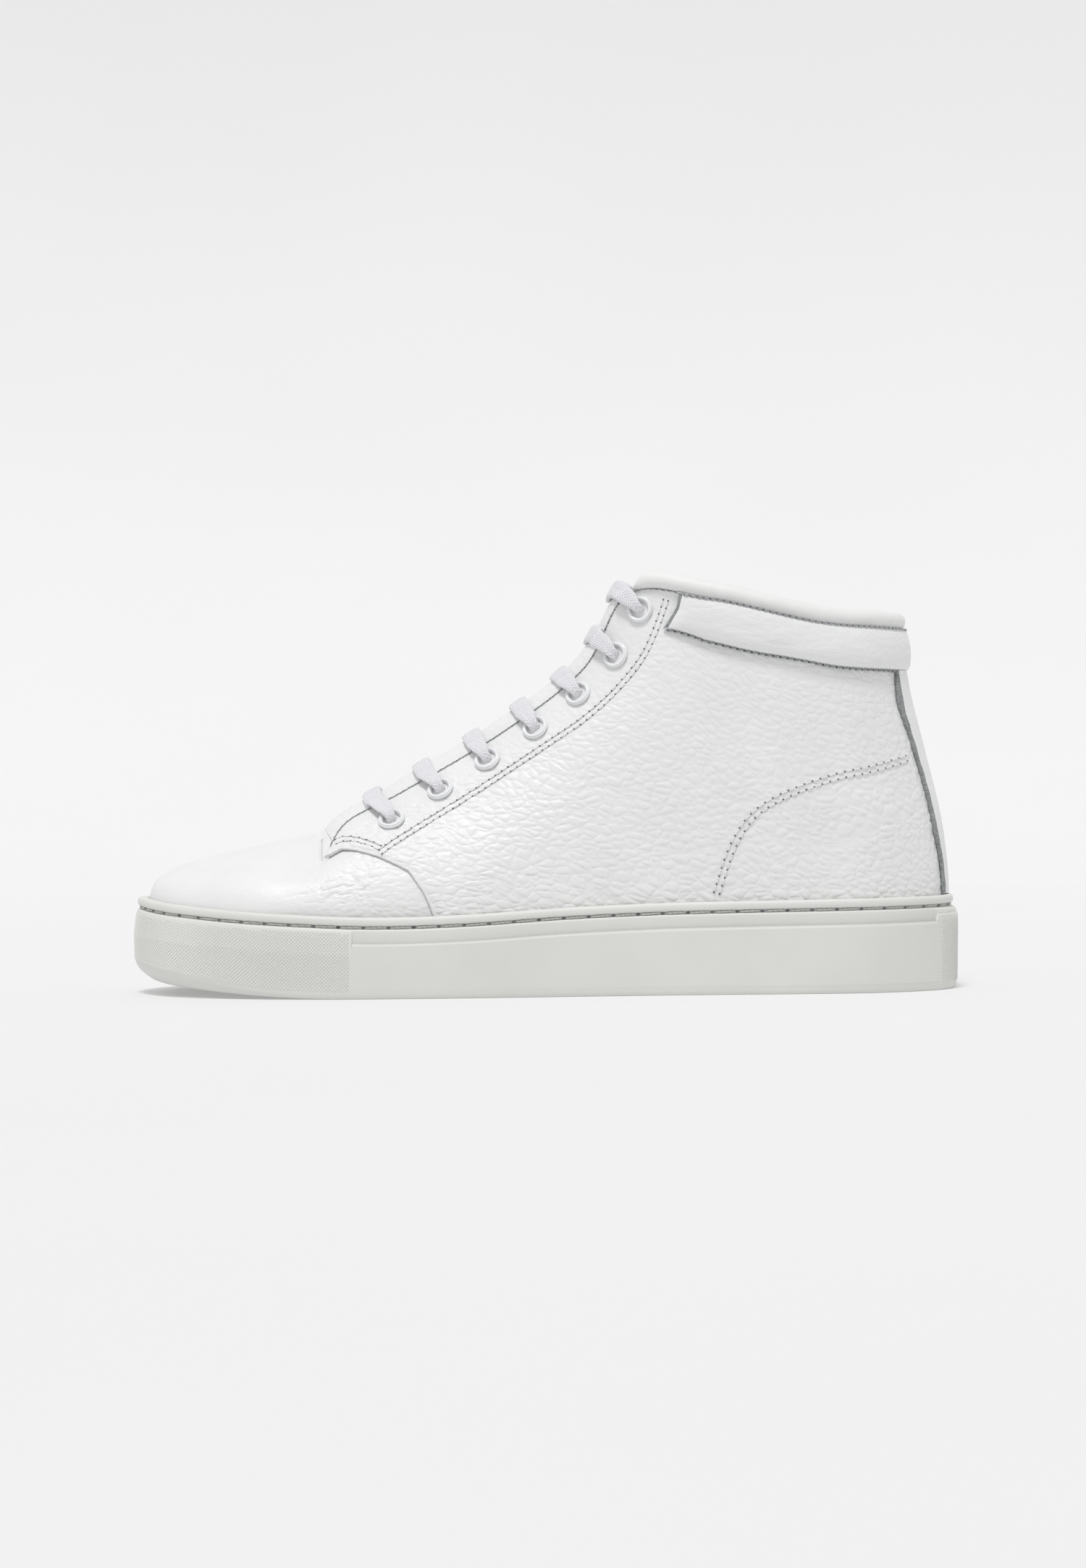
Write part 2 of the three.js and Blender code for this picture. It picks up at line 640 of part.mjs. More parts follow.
function add(name, geometry, finish) {
  const flat = geometry.index ? geometry.toNonIndexed() : geometry;
  const clean = new THREE.BufferGeometry();
  clean.setAttribute('position', flat.attributes.position);
  const mesh = new THREE.Mesh(mergeVertices(clean, 1e-5), finish);
  mesh.name = name;
  group.add(mesh);
}

const flatOffset = (offset) => () => offset;
const rows = (from, to, step = 0.5) => steps(from, to, step);
const V_ROWS = [0, 1, ...rows(2, TOP)];
const vampSink = (u, v) => -(LEATHER + GAP) * smoothstep(-102, -82, surface(u, v).x);
const everywhereAbove = (outline) => [...outline, [-95, 60], [-95, 190], [200, 190], [200, -5]];

// sole
add('outsole_cup', loft(cupProfile, STATIONS / SOLE_STEP), rubber);
add('midsole_foam', plate(1.2, (u) => cupFloor(u) + GAP, (u) => upperFoot(u) - 0.5), foam);
add('lasting_board', plate(5, (u) => upperFoot(u), (u) => upperFoot(u) + BOARD), board);
add('footbed', plate(5.2, (u) => upperFoot(u) + BOARD + GAP,
  (u) => upperFoot(u) + BOARD + GAP + FOOTBED), liningLeather);

// vamp
const vampOutline = [...VAMP_BACK, [-77.8, 95], [-170, 95], [-170, -5]];
add('vamp', cut(slab({
  u: rows(-5.5, 5.5),
  v: V_ROWS,
  outer: vampSink,
  inner: (u, v) => vampSink(u, v) - LEATHER,
}), [], [prism(vampOutline)]), white);
add('toe_puff', cut(slab({
  u: rows(-3, 3),
  v: V_ROWS.slice(0, -1),
  outer: flatOffset(BACKING_TOP),
  inner: flatOffset(BACKING_TOP - BACKING),
}), [], [prism([[PUFF_BACK, -5], [PUFF_BACK, 95], [-170, 95], [-170, -5]])]), stiffener);
const vampLiningDepth = (u, v) => Math.min(LINING_TOP, vampSink(u, v) - LEATHER - GAP);
add('vamp_lining', cut(slab({
  u: rows(-5.5, 5.5),
  v: V_ROWS,
  outer: vampLiningDepth,
  inner: (u, v) => vampLiningDepth(u, v) - LINING,
}), [], [prism(vampOutline)]), liningLeather);

// quarters, one on each side, closed at the heel by the backstay
Object.entries(SIDES).forEach(([name, side]) => {
  const range = (from, to) => (side < 0 ? [from, to] : [STATIONS - to, STATIONS - from]);
  const columns = (from, to) => steps(...range(from, to), 0.5);
  const half = sideRange(side);
  const drills = holeCutters(side);
  add(`quarter_${name}`, cut(slab({
    u: columns(2.5, HEEL - 0.012),
    v: V_ROWS,
    outer: flatOffset(0),
    inner: flatOffset(-LEATHER),
  }), drills, [prism(everywhereAbove(QUARTER_FRONT), ...half)]), white);
  add(`facing_${name}`, cut(slab({
    u: columns(3.5, 8.5),
    v: rows(2.5, TOP),
    outer: flatOffset(BACKING_TOP),
    inner: flatOffset(BACKING_TOP - BACKING),
  }), drills, [
    prism([...FACING_BACK, [46, 190], [-62, 190]], ...half),
    prism([...LINING_FRONT, [-77, 190], [200, 190], [200, -5]], ...half),
  ]), stiffener);
  add(`quarter_lining_${name}`, cut(slab({
    u: columns(3.5, HEEL - 0.012),
    v: V_ROWS,
    outer: (u, v) => LINING_TOP - collarPad(u, v),
    inner: (u, v) => LINING_BOTTOM - collarPad(u, v),
  }), drills, [prism([...LINING_FRONT, [-77, 190], [200, 190], [200, -5]], ...half)]), liningLeather);
});
add('heel_counter', cut(slab({
  u: rows(8.5, STATIONS - 8.5),
  v: V_ROWS.filter((v) => v <= 3),
  outer: flatOffset(BACKING_TOP),
  inner: flatOffset(BACKING_TOP - BACKING),
}), [], [prism([...COUNTER_EDGE, [160, 80], [160, 0]])]), stiffener);
add('backstay', slab({
  u: [11.45, 11.75, 12, 12.25, 12.55],
  v: rows(1.1, 4.2),
  outer: flatOffset(LEATHER + GAP),
  inner: flatOffset(GAP),
}), white);

// collar
const bandBulge = (v) => BAND_BULGE * Math.sin(Math.PI * Math.min(1, Math.max(0, (v - 4.2) / 0.8)));
add('collar_band', cut(slab({
  u: rows(8, STATIONS - 8),
  v: [4, 4.25, 4.5, 4.75, TOP],
  outer: (u, v) => GAP + LEATHER + bandBulge(v),
  inner: flatOffset(2 * GAP),
}), [], [prism([...BAND_EDGE, [150, 115.2], [150, 190], [49.4, 190]])]), white);
add('collar_foam', slab({
  u: rows(9, STATIONS - 9),
  v: rows(4, TOP),
  outer: flatOffset(BACKING_TOP),
  inner: (u, v) => LINING_TOP + GAP - collarPad(u, v) * 0.98,
}), foam);
add('collar_roll', collarRoll(), liningLeather);

// tongue
add('tongue_outer', tongueLayer(0, TONGUE_LEATHER, 3, TONGUE_FROM, TONGUE_TO), white);
add('tongue_foam', tongueLayer(-TONGUE_LEATHER - GAP, TONGUE_FOAM, 2.4, TONGUE_FROM,
  TONGUE_TO), foam);
add('tongue_lining', tongueLayer(-TONGUE_LEATHER - TONGUE_FOAM - 2 * GAP, TONGUE_LINING, 3,
  TONGUE_FROM, TONGUE_TO), liningLeather);

// eyelets, lace and its tips
Object.entries(SIDES).forEach(([name, side]) => {
  EYELET_ROWS.forEach((_, row) => {
    add(`eyelet_${name}_${row + 1}`, eyelet(eyeletFrame(row, side)), enamel);
  });
  add(`aglet_${name}`, aglet(name), plastic);
});
add('lace', ribbon(lacePath(), 1), cotton);

export default group;
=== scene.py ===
"""A white leather lace-up high top on an off-white cupsole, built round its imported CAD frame."""
import math

import bmesh
import bpy
import numpy as np
from mathutils import Matrix, Vector


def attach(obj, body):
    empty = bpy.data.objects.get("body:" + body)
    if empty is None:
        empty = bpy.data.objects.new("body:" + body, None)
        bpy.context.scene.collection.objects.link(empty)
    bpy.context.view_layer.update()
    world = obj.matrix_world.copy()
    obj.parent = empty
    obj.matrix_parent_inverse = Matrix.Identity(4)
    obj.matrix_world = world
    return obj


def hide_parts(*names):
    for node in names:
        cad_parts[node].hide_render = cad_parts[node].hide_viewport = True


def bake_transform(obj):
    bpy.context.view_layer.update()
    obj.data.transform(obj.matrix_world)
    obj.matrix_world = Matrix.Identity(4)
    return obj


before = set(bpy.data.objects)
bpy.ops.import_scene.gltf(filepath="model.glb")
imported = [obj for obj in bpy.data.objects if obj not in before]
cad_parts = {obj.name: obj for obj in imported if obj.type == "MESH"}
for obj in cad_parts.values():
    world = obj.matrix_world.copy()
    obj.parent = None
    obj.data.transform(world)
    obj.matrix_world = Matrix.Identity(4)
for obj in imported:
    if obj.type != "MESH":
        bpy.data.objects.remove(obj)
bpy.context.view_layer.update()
MM = 0.001  # the shoe's own numbers are in millimetres, and Blender's in metres

# ---- the shoe's dimensions, as in the CAD model --------------------------------------------------
GAP, LEATHER, BACKING, LINING = 0.35, 1.2, 0.6, 0.7
BACKING_TOP = -LEATHER - GAP
LINING_TOP = BACKING_TOP - BACKING - GAP
LINING_BOTTOM = LINING_TOP - LINING
WALL, HEEL_WALL, FLOOR = 5.5, 4.1, 5.5
LIP_TO_GROOVE, LIP_TO_LEDGE = 3.5, 9.8
TOE_SPRING, SPRING_START = 5.0, -67.0
COLLAR_PAD, BAND_BULGE = 2.2, 1.7
EYELET_RADIUS, EYELET_BORE = 4.85, 3.15
EYELET_ROWS = [(-54.3, 62.7), (-37, 73.3), (-20.1, 83.9), (-2.8, 95.1), (12.6, 107.2), (26.1, 120.9),
               (34.9, 137.1)]
LACE_WIDTH, LACE_THICKNESS, LACE_PINCHED = 7.6, 1.3, 3.9
UNDER_RUN_DEPTH, UNDER_RUN_DROP = -5.1, 0.3
LACE_PUFF = 1.15  # half the thickness of the lace where nothing presses on it
HEEL, STATIONS, TOP = 12, 24, 5

# One rail for each station from the toe's middle along the outer side to the heel's middle,
# from inside the cupsole up to the throat or the top line: x, z, y outside, y inside.
RAILS = np.array([
    [(-143.9, 16, 6, 6), (-144.5, 35, 6, 6), (-138.8, 43.6, 5.6, 5.6),
     (-122, 49.6, 4.6, 4.6), (-101, 54.2, 3, 3), (-80, 60.6, 1, 1)],
    [(-133, 15.5, -23.5, 35), (-133.8, 33.4, -24.2, 35.6), (-127.6, 42.6, -20.5, 30.5),
     (-114.5, 48.4, -14.5, 22), (-98, 53, -9.5, 14), (-81, 59.4, -10, 12)],
    [(-112, 14.8, -39, 45), (-112.3, 31.2, -40, 46), (-108, 41.4, -35.8, 41),
     (-100.5, 47.6, -27.5, 32), (-91.5, 52, -21, 23.5), (-81.5, 56.2, -21, 22.5)],
    [(-88, 14.2, -46.5, 48.8), (-88.3, 29.6, -47.5, 49.1), (-87, 38.4, -44.8, 46.8),
     (-84.5, 44, -40.3, 42), (-81.5, 47.4, -36, 37.5), (-78.4, 50, -32, 33)],
    [(-60, 14, -48.5, 48.1), (-60, 28.5, -49.5, 49), (-61.5, 39, -47.8, 47.8),
     (-64.2, 48.5, -42.4, 42.5), (-67.4, 56, -34.6, 34.8), (-70.7, 62, -25.5, 26)],
    [(-28, 14, -46.5, 44), (-28, 29.2, -47.5, 45), (-31, 43, -46, 44.2),
     (-36.5, 56, -40, 39.4), (-43.8, 66, -30.8, 30.8), (-51, 72.6, -20, 20.4)],
    [(6, 14, -42.5, 38.5), (6, 31.2, -43.5, 39.5), (4, 50, -42.4, 39.8),
     (-1, 68, -38, 37), (-7.8, 83, -30, 30), (-14.5, 94, -19, 19.4)],
    [(38, 14, -39, 36), (38, 32.4, -39.8, 37), (37, 57, -39.4, 37.8),
     (33, 82, -37.5, 36.8), (25, 103, -31.5, 31.5), (14.5, 116.6, -19.5, 19.8)],
    [(66, 14, -37.5, 35.3), (66, 32.9, -38.2, 36.2), (65, 60, -38.2, 37),
     (60, 90, -37, 36.6), (48.5, 120, -33, 33), (30.7, 143.2, -23, 23)],
    [(92, 14, -36.7, 35.5), (92, 33.2, -37.5, 36.3), (90, 61, -37.6, 36.8),
     (86, 90, -36.4, 36), (77, 117, -35.5, 35.2), (60, 140.6, -33.8, 33.8)],
    [(118, 14, -32.5, 31.5), (118.5, 33.5, -33.4, 32.6), (117, 60, -32.4, 32),
     (113, 87, -31, 31), (106.5, 111, -31.6, 31.6), (97, 132, -33, 33)],
    [(137.5, 14, -19.5, 19), (139, 33.8, -19.8, 19.4), (137, 60, -18.4, 18.2),
     (131.5, 87, -17, 17), (125.4, 110, -18.2, 18.2), (121.8, 130.2, -20, 20)],
    [(144, 14, 0, 0), (145.9, 34, 0, 0), (143.6, 60, 0, 0),
     (137.6, 86, 0, 0), (132, 110, 0, 0), (130.2, 130.2, 0, 0)],
], float)

# Seams in the side view, x and z.
QUARTER_FRONT = [(-39, 14), (-39, 28.8), (-42.2, 37), (-47.8, 45.3), (-59, 50.6), (-66.9, 52.7),
                 (-72, 53), (-76, 50.9), (-78.4, 50)]
EYESTAY_ROW = [(43.2, 140.5), (41.9, 136.5), (39.3, 129.7), (35.6, 121.9), (30.4, 114.7), (22.5, 106.2),
               (13.1, 98.3), (2.8, 91.4), (-11.9, 81.8), (-27.3, 71.9), (-42.8, 62.5), (-52.5, 56.5),
               (-58.5, 52.3)]
CORNER_ROW = [(-58.5, 52.3), (-62, 53.8), (-66.9, 55.2), (-71, 55.5), (-74, 54.4)]
COUNTER_ROW = [(62, 35.5), (64, 41.5), (66.2, 48.1), (69.3, 54.7), (73.4, 60.8), (78.5, 65.3), (84.6, 68.7),
               (93.1, 72.2), (105.4, 76), (117.2, 78.4), (131, 82.2)]
BAND_LOWER = [(43.6, 130.1), (57.9, 125.8), (77.7, 121.1), (93.9, 118.3), (111.8, 115.7), (122, 115.3),
              (131.3, 115.2)]
BAND_FRONT = [(43.6, 130.1), (45.1, 135.1), (49.3, 142.6)]
BACKSTAY_FRONT = [(143.2, 32), (142.9, 43.8), (140.6, 56), (137.9, 69.3), (134.8, 80.3), (131.2, 92.3),
                  (127.9, 101.4), (127, 108), (126.8, 115.9)]
RIDGE = [(-80.5, 57.6), (-72.8, 65.4), (-53.4, 76.4), (-17, 98), (11.6, 119.6), (27, 144.8), (34, 168)]


# ---- curves and surfaces -------------------------------------------------------------------------
def smoothstep(low, high, x):
    t = np.clip((np.asarray(x, float) - low) / (high - low), 0, 1)
    return t * t * (3 - 2 * t)


def catmull(a, b, c, d, t):
    """A smooth curve from b to c, with a before them and d after."""
    return 0.5 * (2 * b + (c - a) * t + (2 * a - 5 * b + 4 * c - d) * t * t
                  + (3 * b - a - 3 * c + d) * t ** 3)


def along(points, t):
    """A smooth curve through the points, t counting from one to the next. Points may be arrays."""
    points = np.asarray(points, float)
    t = np.asarray(t, float)
    last = len(points) - 1
    first_out = 3 * points[0] - 3 * points[1] + points[2]
    last_out = 3 * points[last] - 3 * points[last - 1] + points[last - 2]
    padded = np.concatenate([first_out[None], points, last_out[None]])
    i = np.clip(np.floor(t).astype(int), 0, last - 1)
    s = (t - i).reshape(t.shape + (1,) * (points.ndim - 1))
    return catmull(padded[i], padded[i + 1], padded[i + 2], padded[i + 3], s)


def station_points():
    """The rails of every station, right round the shoe and back to the toe."""
    rails = [RAILS[i][:, [0, 2, 1]] for i in range(HEEL + 1)]
    inner = [RAILS[i][:, [0, 3, 1]] for i in range(HEEL - 1, 0, -1)]
    return np.array(rails + inner)


RING_POINTS = station_points()


def rings(u):
    """The six row points of the stations at u, an array of any shape."""
    i = np.floor(u).astype(int)
    t = (u - i)[..., None, None]
    p = [RING_POINTS[(i + k) % STATIONS] for k in (-1, 0, 1, 2)]
    return catmull(*p, t)


def surface(u, v):
    """The outside of the upper at station u and row v, in mm."""
    u, v = np.broadcast_arrays(np.asarray(u, float), np.asarray(v, float))
    p = rings(u)
    before = 3 * p[..., 0, :] - 3 * p[..., 1, :] + p[..., 2, :]
    after = 3 * p[..., 5, :] - 3 * p[..., 4, :] + p[..., 3, :]
    p = np.concatenate([before[..., None, :], p, after[..., None, :]], axis=-2)
    i = np.clip(np.floor(v).astype(int), 0, TOP - 1)
    take = [np.take_along_axis(p, (i + k)[..., None, None], axis=-2)[..., 0, :] for k in range(4)]
    return catmull(*take, (v - i)[..., None])


def on_side(u, side):
    """A lateral station as it is (side -1), or its twin on the medial side (1)."""
    return u if side < 0 else STATIONS - u


def unit(a):
    return a / np.maximum(np.linalg.norm(a, axis=-1, keepdims=True), 1e-12)


def skin_frame(u, v):
    """Directions round the shoe and up it, and the outward normal."""
    e = 0.02
    u, v = np.broadcast_arrays(np.asarray(u, float), np.asarray(v, float))
    du = unit(surface(u + e, v) - surface(u - e, v))
    dv = unit(surface(u, np.minimum(v + e, TOP)) - surface(u, np.minimum(v, TOP - e) - e))
    return du, dv, unit(np.cross(du, dv))


def skin(u, v, offset=0.0):
    """The surface moved outwards by the offset."""
    return surface(u, v) + skin_frame(u, v)[2] * np.asarray(offset)[..., None]


def locate(x, z):
    """Station and row of points seen from the outer side at x, z."""
    x, z = np.asarray(x, float), np.asarray(z, float)
    grid_u, grid_v = np.meshgrid(np.linspace(0.5, 11.9, 115), np.linspace(0, TOP, 51), indexing="ij")
    p = surface(grid_u, grid_v)
    nearest = ((p[..., 0] - x[..., None, None]) ** 2 + (p[..., 2] - z[..., None, None]) ** 2)
    k = nearest.reshape(x.shape + (-1,)).argmin(-1)
    u, v = grid_u.ravel()[k], grid_v.ravel()[k]
    e = 0.01
    for _ in range(25):
        p = surface(u, v)
        pu = (surface(u + e, v) - p) / e
        pv = (surface(u, v + e) - p) / e
        dx, dz = x - p[..., 0], z - p[..., 2]
        det = pu[..., 0] * pv[..., 2] - pu[..., 2] * pv[..., 0]
        u = u + 0.7 * (dx * pv[..., 2] - dz * pv[..., 0]) / det
        v = v + 0.7 * (dz * pu[..., 0] - dx * pu[..., 2]) / det
    return u, v


def lengths(points):
    """Distance along a line of points to each of them."""
    return np.concatenate([[0], np.cumsum(np.linalg.norm(np.diff(points, axis=0), axis=1))])


def resample(points, pitch):
    """Points at an even pitch along a smooth curve through the given ones."""
    fine = along(points, np.linspace(0, len(points) - 1, 40 * len(points)))
    length = lengths(fine)
    count = max(2, int(round(length[-1] / pitch)) + 1)
    at = np.linspace(0, length[-1], count)
    return np.stack([np.interp(at, length, fine[:, k]) for k in range(fine.shape[1])], axis=1)


def spread(u, count):
    """That many values, evenly spread along the list u."""
    return np.interp(np.linspace(0, 1, count), np.linspace(0, 1, len(u)), u)


# ---- noise ---------------------------------------------------------------------------------------
def hashed(cell, seed):
    """A repeatable value from 0 to 1 for each whole-number cell."""
    c = cell.astype(np.int64)
    h = (c[..., 0] * 73856093) ^ (c[..., 1] * 19349663) ^ (c[..., 2] * 83492791) ^ (seed * 2654435761)
    h = (h ^ (h >> 13)) * 1274126177
    h = (h ^ (h >> 16)) & 0xFFFFFF
    return h / float(0xFFFFFF)


def value_noise(p, seed=0):
    """Smooth noise from -1 to 1 with cells one unit wide."""
    base = np.floor(p)
    f = p - base
    f = f * f * (3 - 2 * f)
    total = np.zeros(p.shape[:-1])
    for corner in np.ndindex(2, 2, 2):
        weight = np.prod([f[..., k] if corner[k] else 1 - f[..., k] for k in range(3)], axis=0)
        total += weight * hashed(base + np.array(corner), seed)
    return total * 2 - 1


def fractal(p, octaves=3, seed=0):
    return sum(value_noise(p * 2 ** k, seed + k) / 2 ** k for k in range(octaves))


def pebbles(p, seed=0):
    """0 in the valleys between leather pebbles, towards 1 on top of each."""
    base = np.floor(p)
    first = np.full(p.shape[:-1], 9.0)
    second = np.full(p.shape[:-1], 9.0)
    for corner in np.ndindex(3, 3, 3):
        cell = base + np.array(corner) - 1
        jitter = np.stack([hashed(cell, seed + k) for k in range(3)], axis=-1)
        d = np.linalg.norm(cell + jitter - p, axis=-1)
        second = np.minimum(second, np.maximum(first, d))
        first = np.minimum(first, d)
    return 1 - np.exp(-4.2 * (second - first))


def leather_relief(p, strength=1.0, wrinkle=1.0):
    """Height in mm of tumbled grain at points p: pebbles, and long shallow wrinkles."""
    warp = np.stack([value_noise(p / 9 + s, 11 + s) for s in (0, 5, 9)], axis=-1)
    q = p + warp * 1.6
    flow = q @ np.array([[0.97, 0, 0.22], [0, 1, 0], [-0.22, 0, 0.97]])
    grain = pebbles(flow / np.array([5.0, 3.8, 2.5]), 3)
    small = pebbles(flow / np.array([2.6, 2.0, 1.5]), 8)
    ridges = np.abs(value_noise(flow / np.array([17, 6, 3.6]), 21))
    ridges = np.exp(-ridges * 9) * smoothstep(-0.1, 0.6, value_noise(p / 24, 4))
    return strength * (0.34 * grain + 0.08 * small - 0.42) - wrinkle * 0.14 * ridges


# ---- making meshes -------------------------------------------------------------------------------
def mesh_object(name, points, faces, materials, indices=None, attributes=None):
    """A smooth object from points in mm and quads or triangles."""
    mesh = bpy.data.meshes.new(name)
    faces = [np.asarray(f) for f in faces if len(f)]
    sizes = np.concatenate([np.full(len(f), f.shape[1]) for f in faces])
    corners = np.concatenate([f.ravel() for f in faces]).astype(np.int32)
    mesh.vertices.add(len(points))
    mesh.vertices.foreach_set("co", (np.asarray(points) * MM).astype(np.float32).ravel())
    mesh.loops.add(len(corners))
    mesh.loops.foreach_set("vertex_index", corners)
    mesh.polygons.add(len(sizes))
    starts = np.concatenate([[0], np.cumsum(sizes)[:-1]]).astype(np.int32)
    mesh.polygons.foreach_set("loop_start", starts)
    mesh.polygons.foreach_set("use_smooth", np.ones(len(sizes), bool))
    if indices is not None:
        mesh.polygons.foreach_set("material_index", np.asarray(indices, np.int32))
    for key, values in (attributes or {}).items():
        layer = mesh.attributes.new(key, "FLOAT", "POINT")
        layer.data.foreach_set("value", np.asarray(values, np.float32).ravel())
    mesh.update(calc_edges=True)
    mesh.validate()
    for m in materials:
        mesh.materials.append(m)
    ob = bpy.data.objects.new(name, mesh)
    bpy.context.scene.collection.objects.link(ob)
    return ob


def grid_faces(rows, columns, closed=False, start=0):
    """Quads over points laid out row by row; closed joins the last row to the first."""
    i = np.arange(rows if closed else rows - 1)[:, None]
    j = np.arange(columns - 1)[None]
    a = start + i * columns + j
    b = start + ((i + 1) % rows) * columns + j
    return np.stack([a, b, b + 1, a + 1], axis=-1).reshape(-1, 4)


def tube_faces(rows, around):
    """Quads over rings of points laid out ring by ring, open at both ends."""
    i = np.arange(rows - 1)[:, None] * around
    k = np.arange(around)[None]
    after = (k + 1) % around
    return np.stack([i + k, i + around + k, i + around + after, i + after], -1).reshape(-1, 4)


def shell(name, outer, inner, materials, edge_slots=(1, 1, 1, 1), bulge=0.35, column_slots=None):
    """A sheet between two grids of points, with a rounded cut edge all round.
    The grids' first index runs round the shoe, the second up it. edge_slots are the material
    slots of the start, end, bottom and top edges, column_slots those of the outer face's columns."""
    n, m = outer.shape[:2]
    points = [outer.reshape(-1, 3), inner.reshape(-1, 3)]
    count = n * m
    faces = [grid_faces(n, m), grid_faces(n, m, start=count)[:, ::-1]]
    columns = np.zeros(n - 1, int) if column_slots is None else column_slots
    slots = [np.repeat(columns, m - 1), np.zeros(len(faces[1]), int)]
    index = np.arange(count).reshape(n, m)
    borders = [(index[0, ::-1], index[1, ::-1]), (index[-1], index[-2]),
               (index[:, 0], index[:, 1]), (index[::-1, -1], index[::-1, -2])]
    flat_outer, flat_inner = points[0], points[1]
    total = 2 * count
    steps = 4
    for (loop, within), slot in zip(borders, edge_slots):
        away = unit(flat_outer[loop] - flat_outer[within])
        lines = [loop]
        for k in range(1, steps):
            t = k / steps
            p = flat_outer[loop] * (1 - t) + flat_inner[loop] * t
            points.append(p + away * bulge * math.sin(math.pi * t))
            lines.append(np.arange(total, total + len(loop)))
            total += len(loop)
        lines.append(loop + count)
        for a, b in zip(lines[:-1], lines[1:]):
            faces.append(np.stack([a[:-1], b[:-1], b[1:], a[1:]], axis=-1))
            slots.append(np.full(len(loop) - 1, slot))
    every = np.concatenate(points)
    return mesh_object(name, every, outward(every, faces), materials, np.concatenate(slots))


def outward(points, faces):
    """The faces, all turned over if they face inwards; they already agree with each other."""
    volume = 0.0
    for f in faces:
        p = points[f]
        for k in range(1, f.shape[1] - 1):
            volume += np.einsum("ij,ij->", p[:, 0], np.cross(p[:, k], p[:, k + 1]))
    return [f[:, ::-1] for f in faces] if volume < 0 else faces


def mend(ob, distance=0.00001):
    """Joins the doubled points of a mesh and turns its faces outwards."""
    bm = bmesh.new()
    bm.from_mesh(ob.data)
    bmesh.ops.remove_doubles(bm, verts=bm.verts, dist=distance)
    bmesh.ops.recalc_face_normals(bm, faces=bm.faces)
    bm.to_mesh(ob.data)
    bm.free()


def copies(points, faces, places, frames):
    """Many copies of a small mesh: places (n, 3), frames (n, 3, 3) with the axes as rows."""
    every = np.einsum("pk,nkj->npj", points, frames) + places[:, None]
    shift = np.arange(len(places))[:, None, None] * len(points)
    return every.reshape(-1, 3), (faces[None] + shift).reshape(-1, faces.shape[1])


def capsule(rings_count=7, sides=7):
    """Points and quads of a thread of unit length along x and unit radius, its ends rounded."""
    points = []
    for i in range(rings_count):
        t = i / (rings_count - 1)
        r = math.sqrt(max(0.02, 1 - (2 * t - 1) ** 6))
        for k in range(sides):
            a = 2 * math.pi * k / sides
            points.append((t - 0.5, r * math.cos(a), r * math.sin(a)))
    faces = []
    for i in range(rings_count - 1):
        for k in range(sides):
            a, b = i * sides + k, i * sides + (k + 1) % sides
            faces.append((a, b, b + sides, a + sides))
    return np.array(points), np.array(faces)


# ---- materials -----------------------------------------------------------------------------------
class Shader:
    """A Principled material and the few nodes that feed it."""

    def __init__(self, name, colour, roughness, specular=0.5):
        self.material = bpy.data.materials.new(name)
        self.material.use_nodes = True
        self.nodes = self.material.node_tree.nodes
        self.links = self.material.node_tree.links
        self.shader = self.nodes["Principled BSDF"]
        self.shader.inputs["Base Color"].default_value = (*colour, 1)
        self.shader.inputs["Roughness"].default_value = roughness
        self.shader.inputs["Specular IOR Level"].default_value = specular
        self.place = self.nodes.new("ShaderNodeTexCoord").outputs["Object"]
        self.normal = None

    def new(self, kind, **values):
        node = self.nodes.new(kind)
        for key, value in values.items():
            setattr(node, key, value)
        return node

    def stretched(self, scale):
        node = self.new("ShaderNodeMapping")
        node.inputs["Scale"].default_value = scale
        self.links.new(self.place, node.inputs["Vector"])
        return node.outputs["Vector"]

    def noise(self, scale, detail=3, vector=None):
        node = self.new("ShaderNodeTexNoise")
        node.inputs["Scale"].default_value = scale
        node.inputs["Detail"].default_value = detail
        self.links.new(vector or self.place, node.inputs["Vector"])
        return node.outputs["Fac"]

    def cells(self, scale, vector):
        node = self.new("ShaderNodeTexVoronoi", feature="SMOOTH_F1")
        node.inputs["Scale"].default_value = scale
        self.links.new(vector, node.inputs["Vector"])
        return node.outputs["Distance"]

    def attribute(self, name):
        return self.new("ShaderNodeAttribute", attribute_name=name).outputs["Fac"]

    def math(self, operation, a, b=0.0):
        node = self.new("ShaderNodeMath", operation=operation)
        for socket, value in zip(node.inputs, (a, b)):
            if isinstance(value, (int, float)):
                socket.default_value = value
            else:
                self.links.new(value, socket)
        return node.outputs["Value"]

    def ramp(self, value, stops):
        node = self.new("ShaderNodeValToRGB")
        while len(node.color_ramp.elements) < len(stops):
            node.color_ramp.elements.new(0.5)
        for element, (at, colour) in zip(node.color_ramp.elements, stops):
            element.position = at
            element.color = (*colour, 1)
        self.links.new(value, node.inputs["Fac"])
        return node.outputs["Color"]

    def colour(self, value, stops):
        self.links.new(self.ramp(value, stops), self.shader.inputs["Base Color"])
        return self

    def roughness(self, value, low, high):
        node = self.new("ShaderNodeMapRange")
        node.inputs["To Min"].default_value = low
        node.inputs["To Max"].default_value = high
        self.links.new(value, node.inputs["Value"])
        self.links.new(node.outputs["Result"], self.shader.inputs["Roughness"])
        return self

    def bump(self, height, depth):
        """Relief of that depth in mm."""
        node = self.new("ShaderNodeBump")
        node.inputs["Distance"].default_value = depth * MM
        node.inputs["Strength"].default_value = 1
        self.links.new(height, node.inputs["Height"])
        if self.normal:
            self.links.new(self.normal, node.inputs["Normal"])
        self.normal = node.outputs["Normal"]
        self.links.new(self.normal, self.shader.inputs["Normal"])
        return self


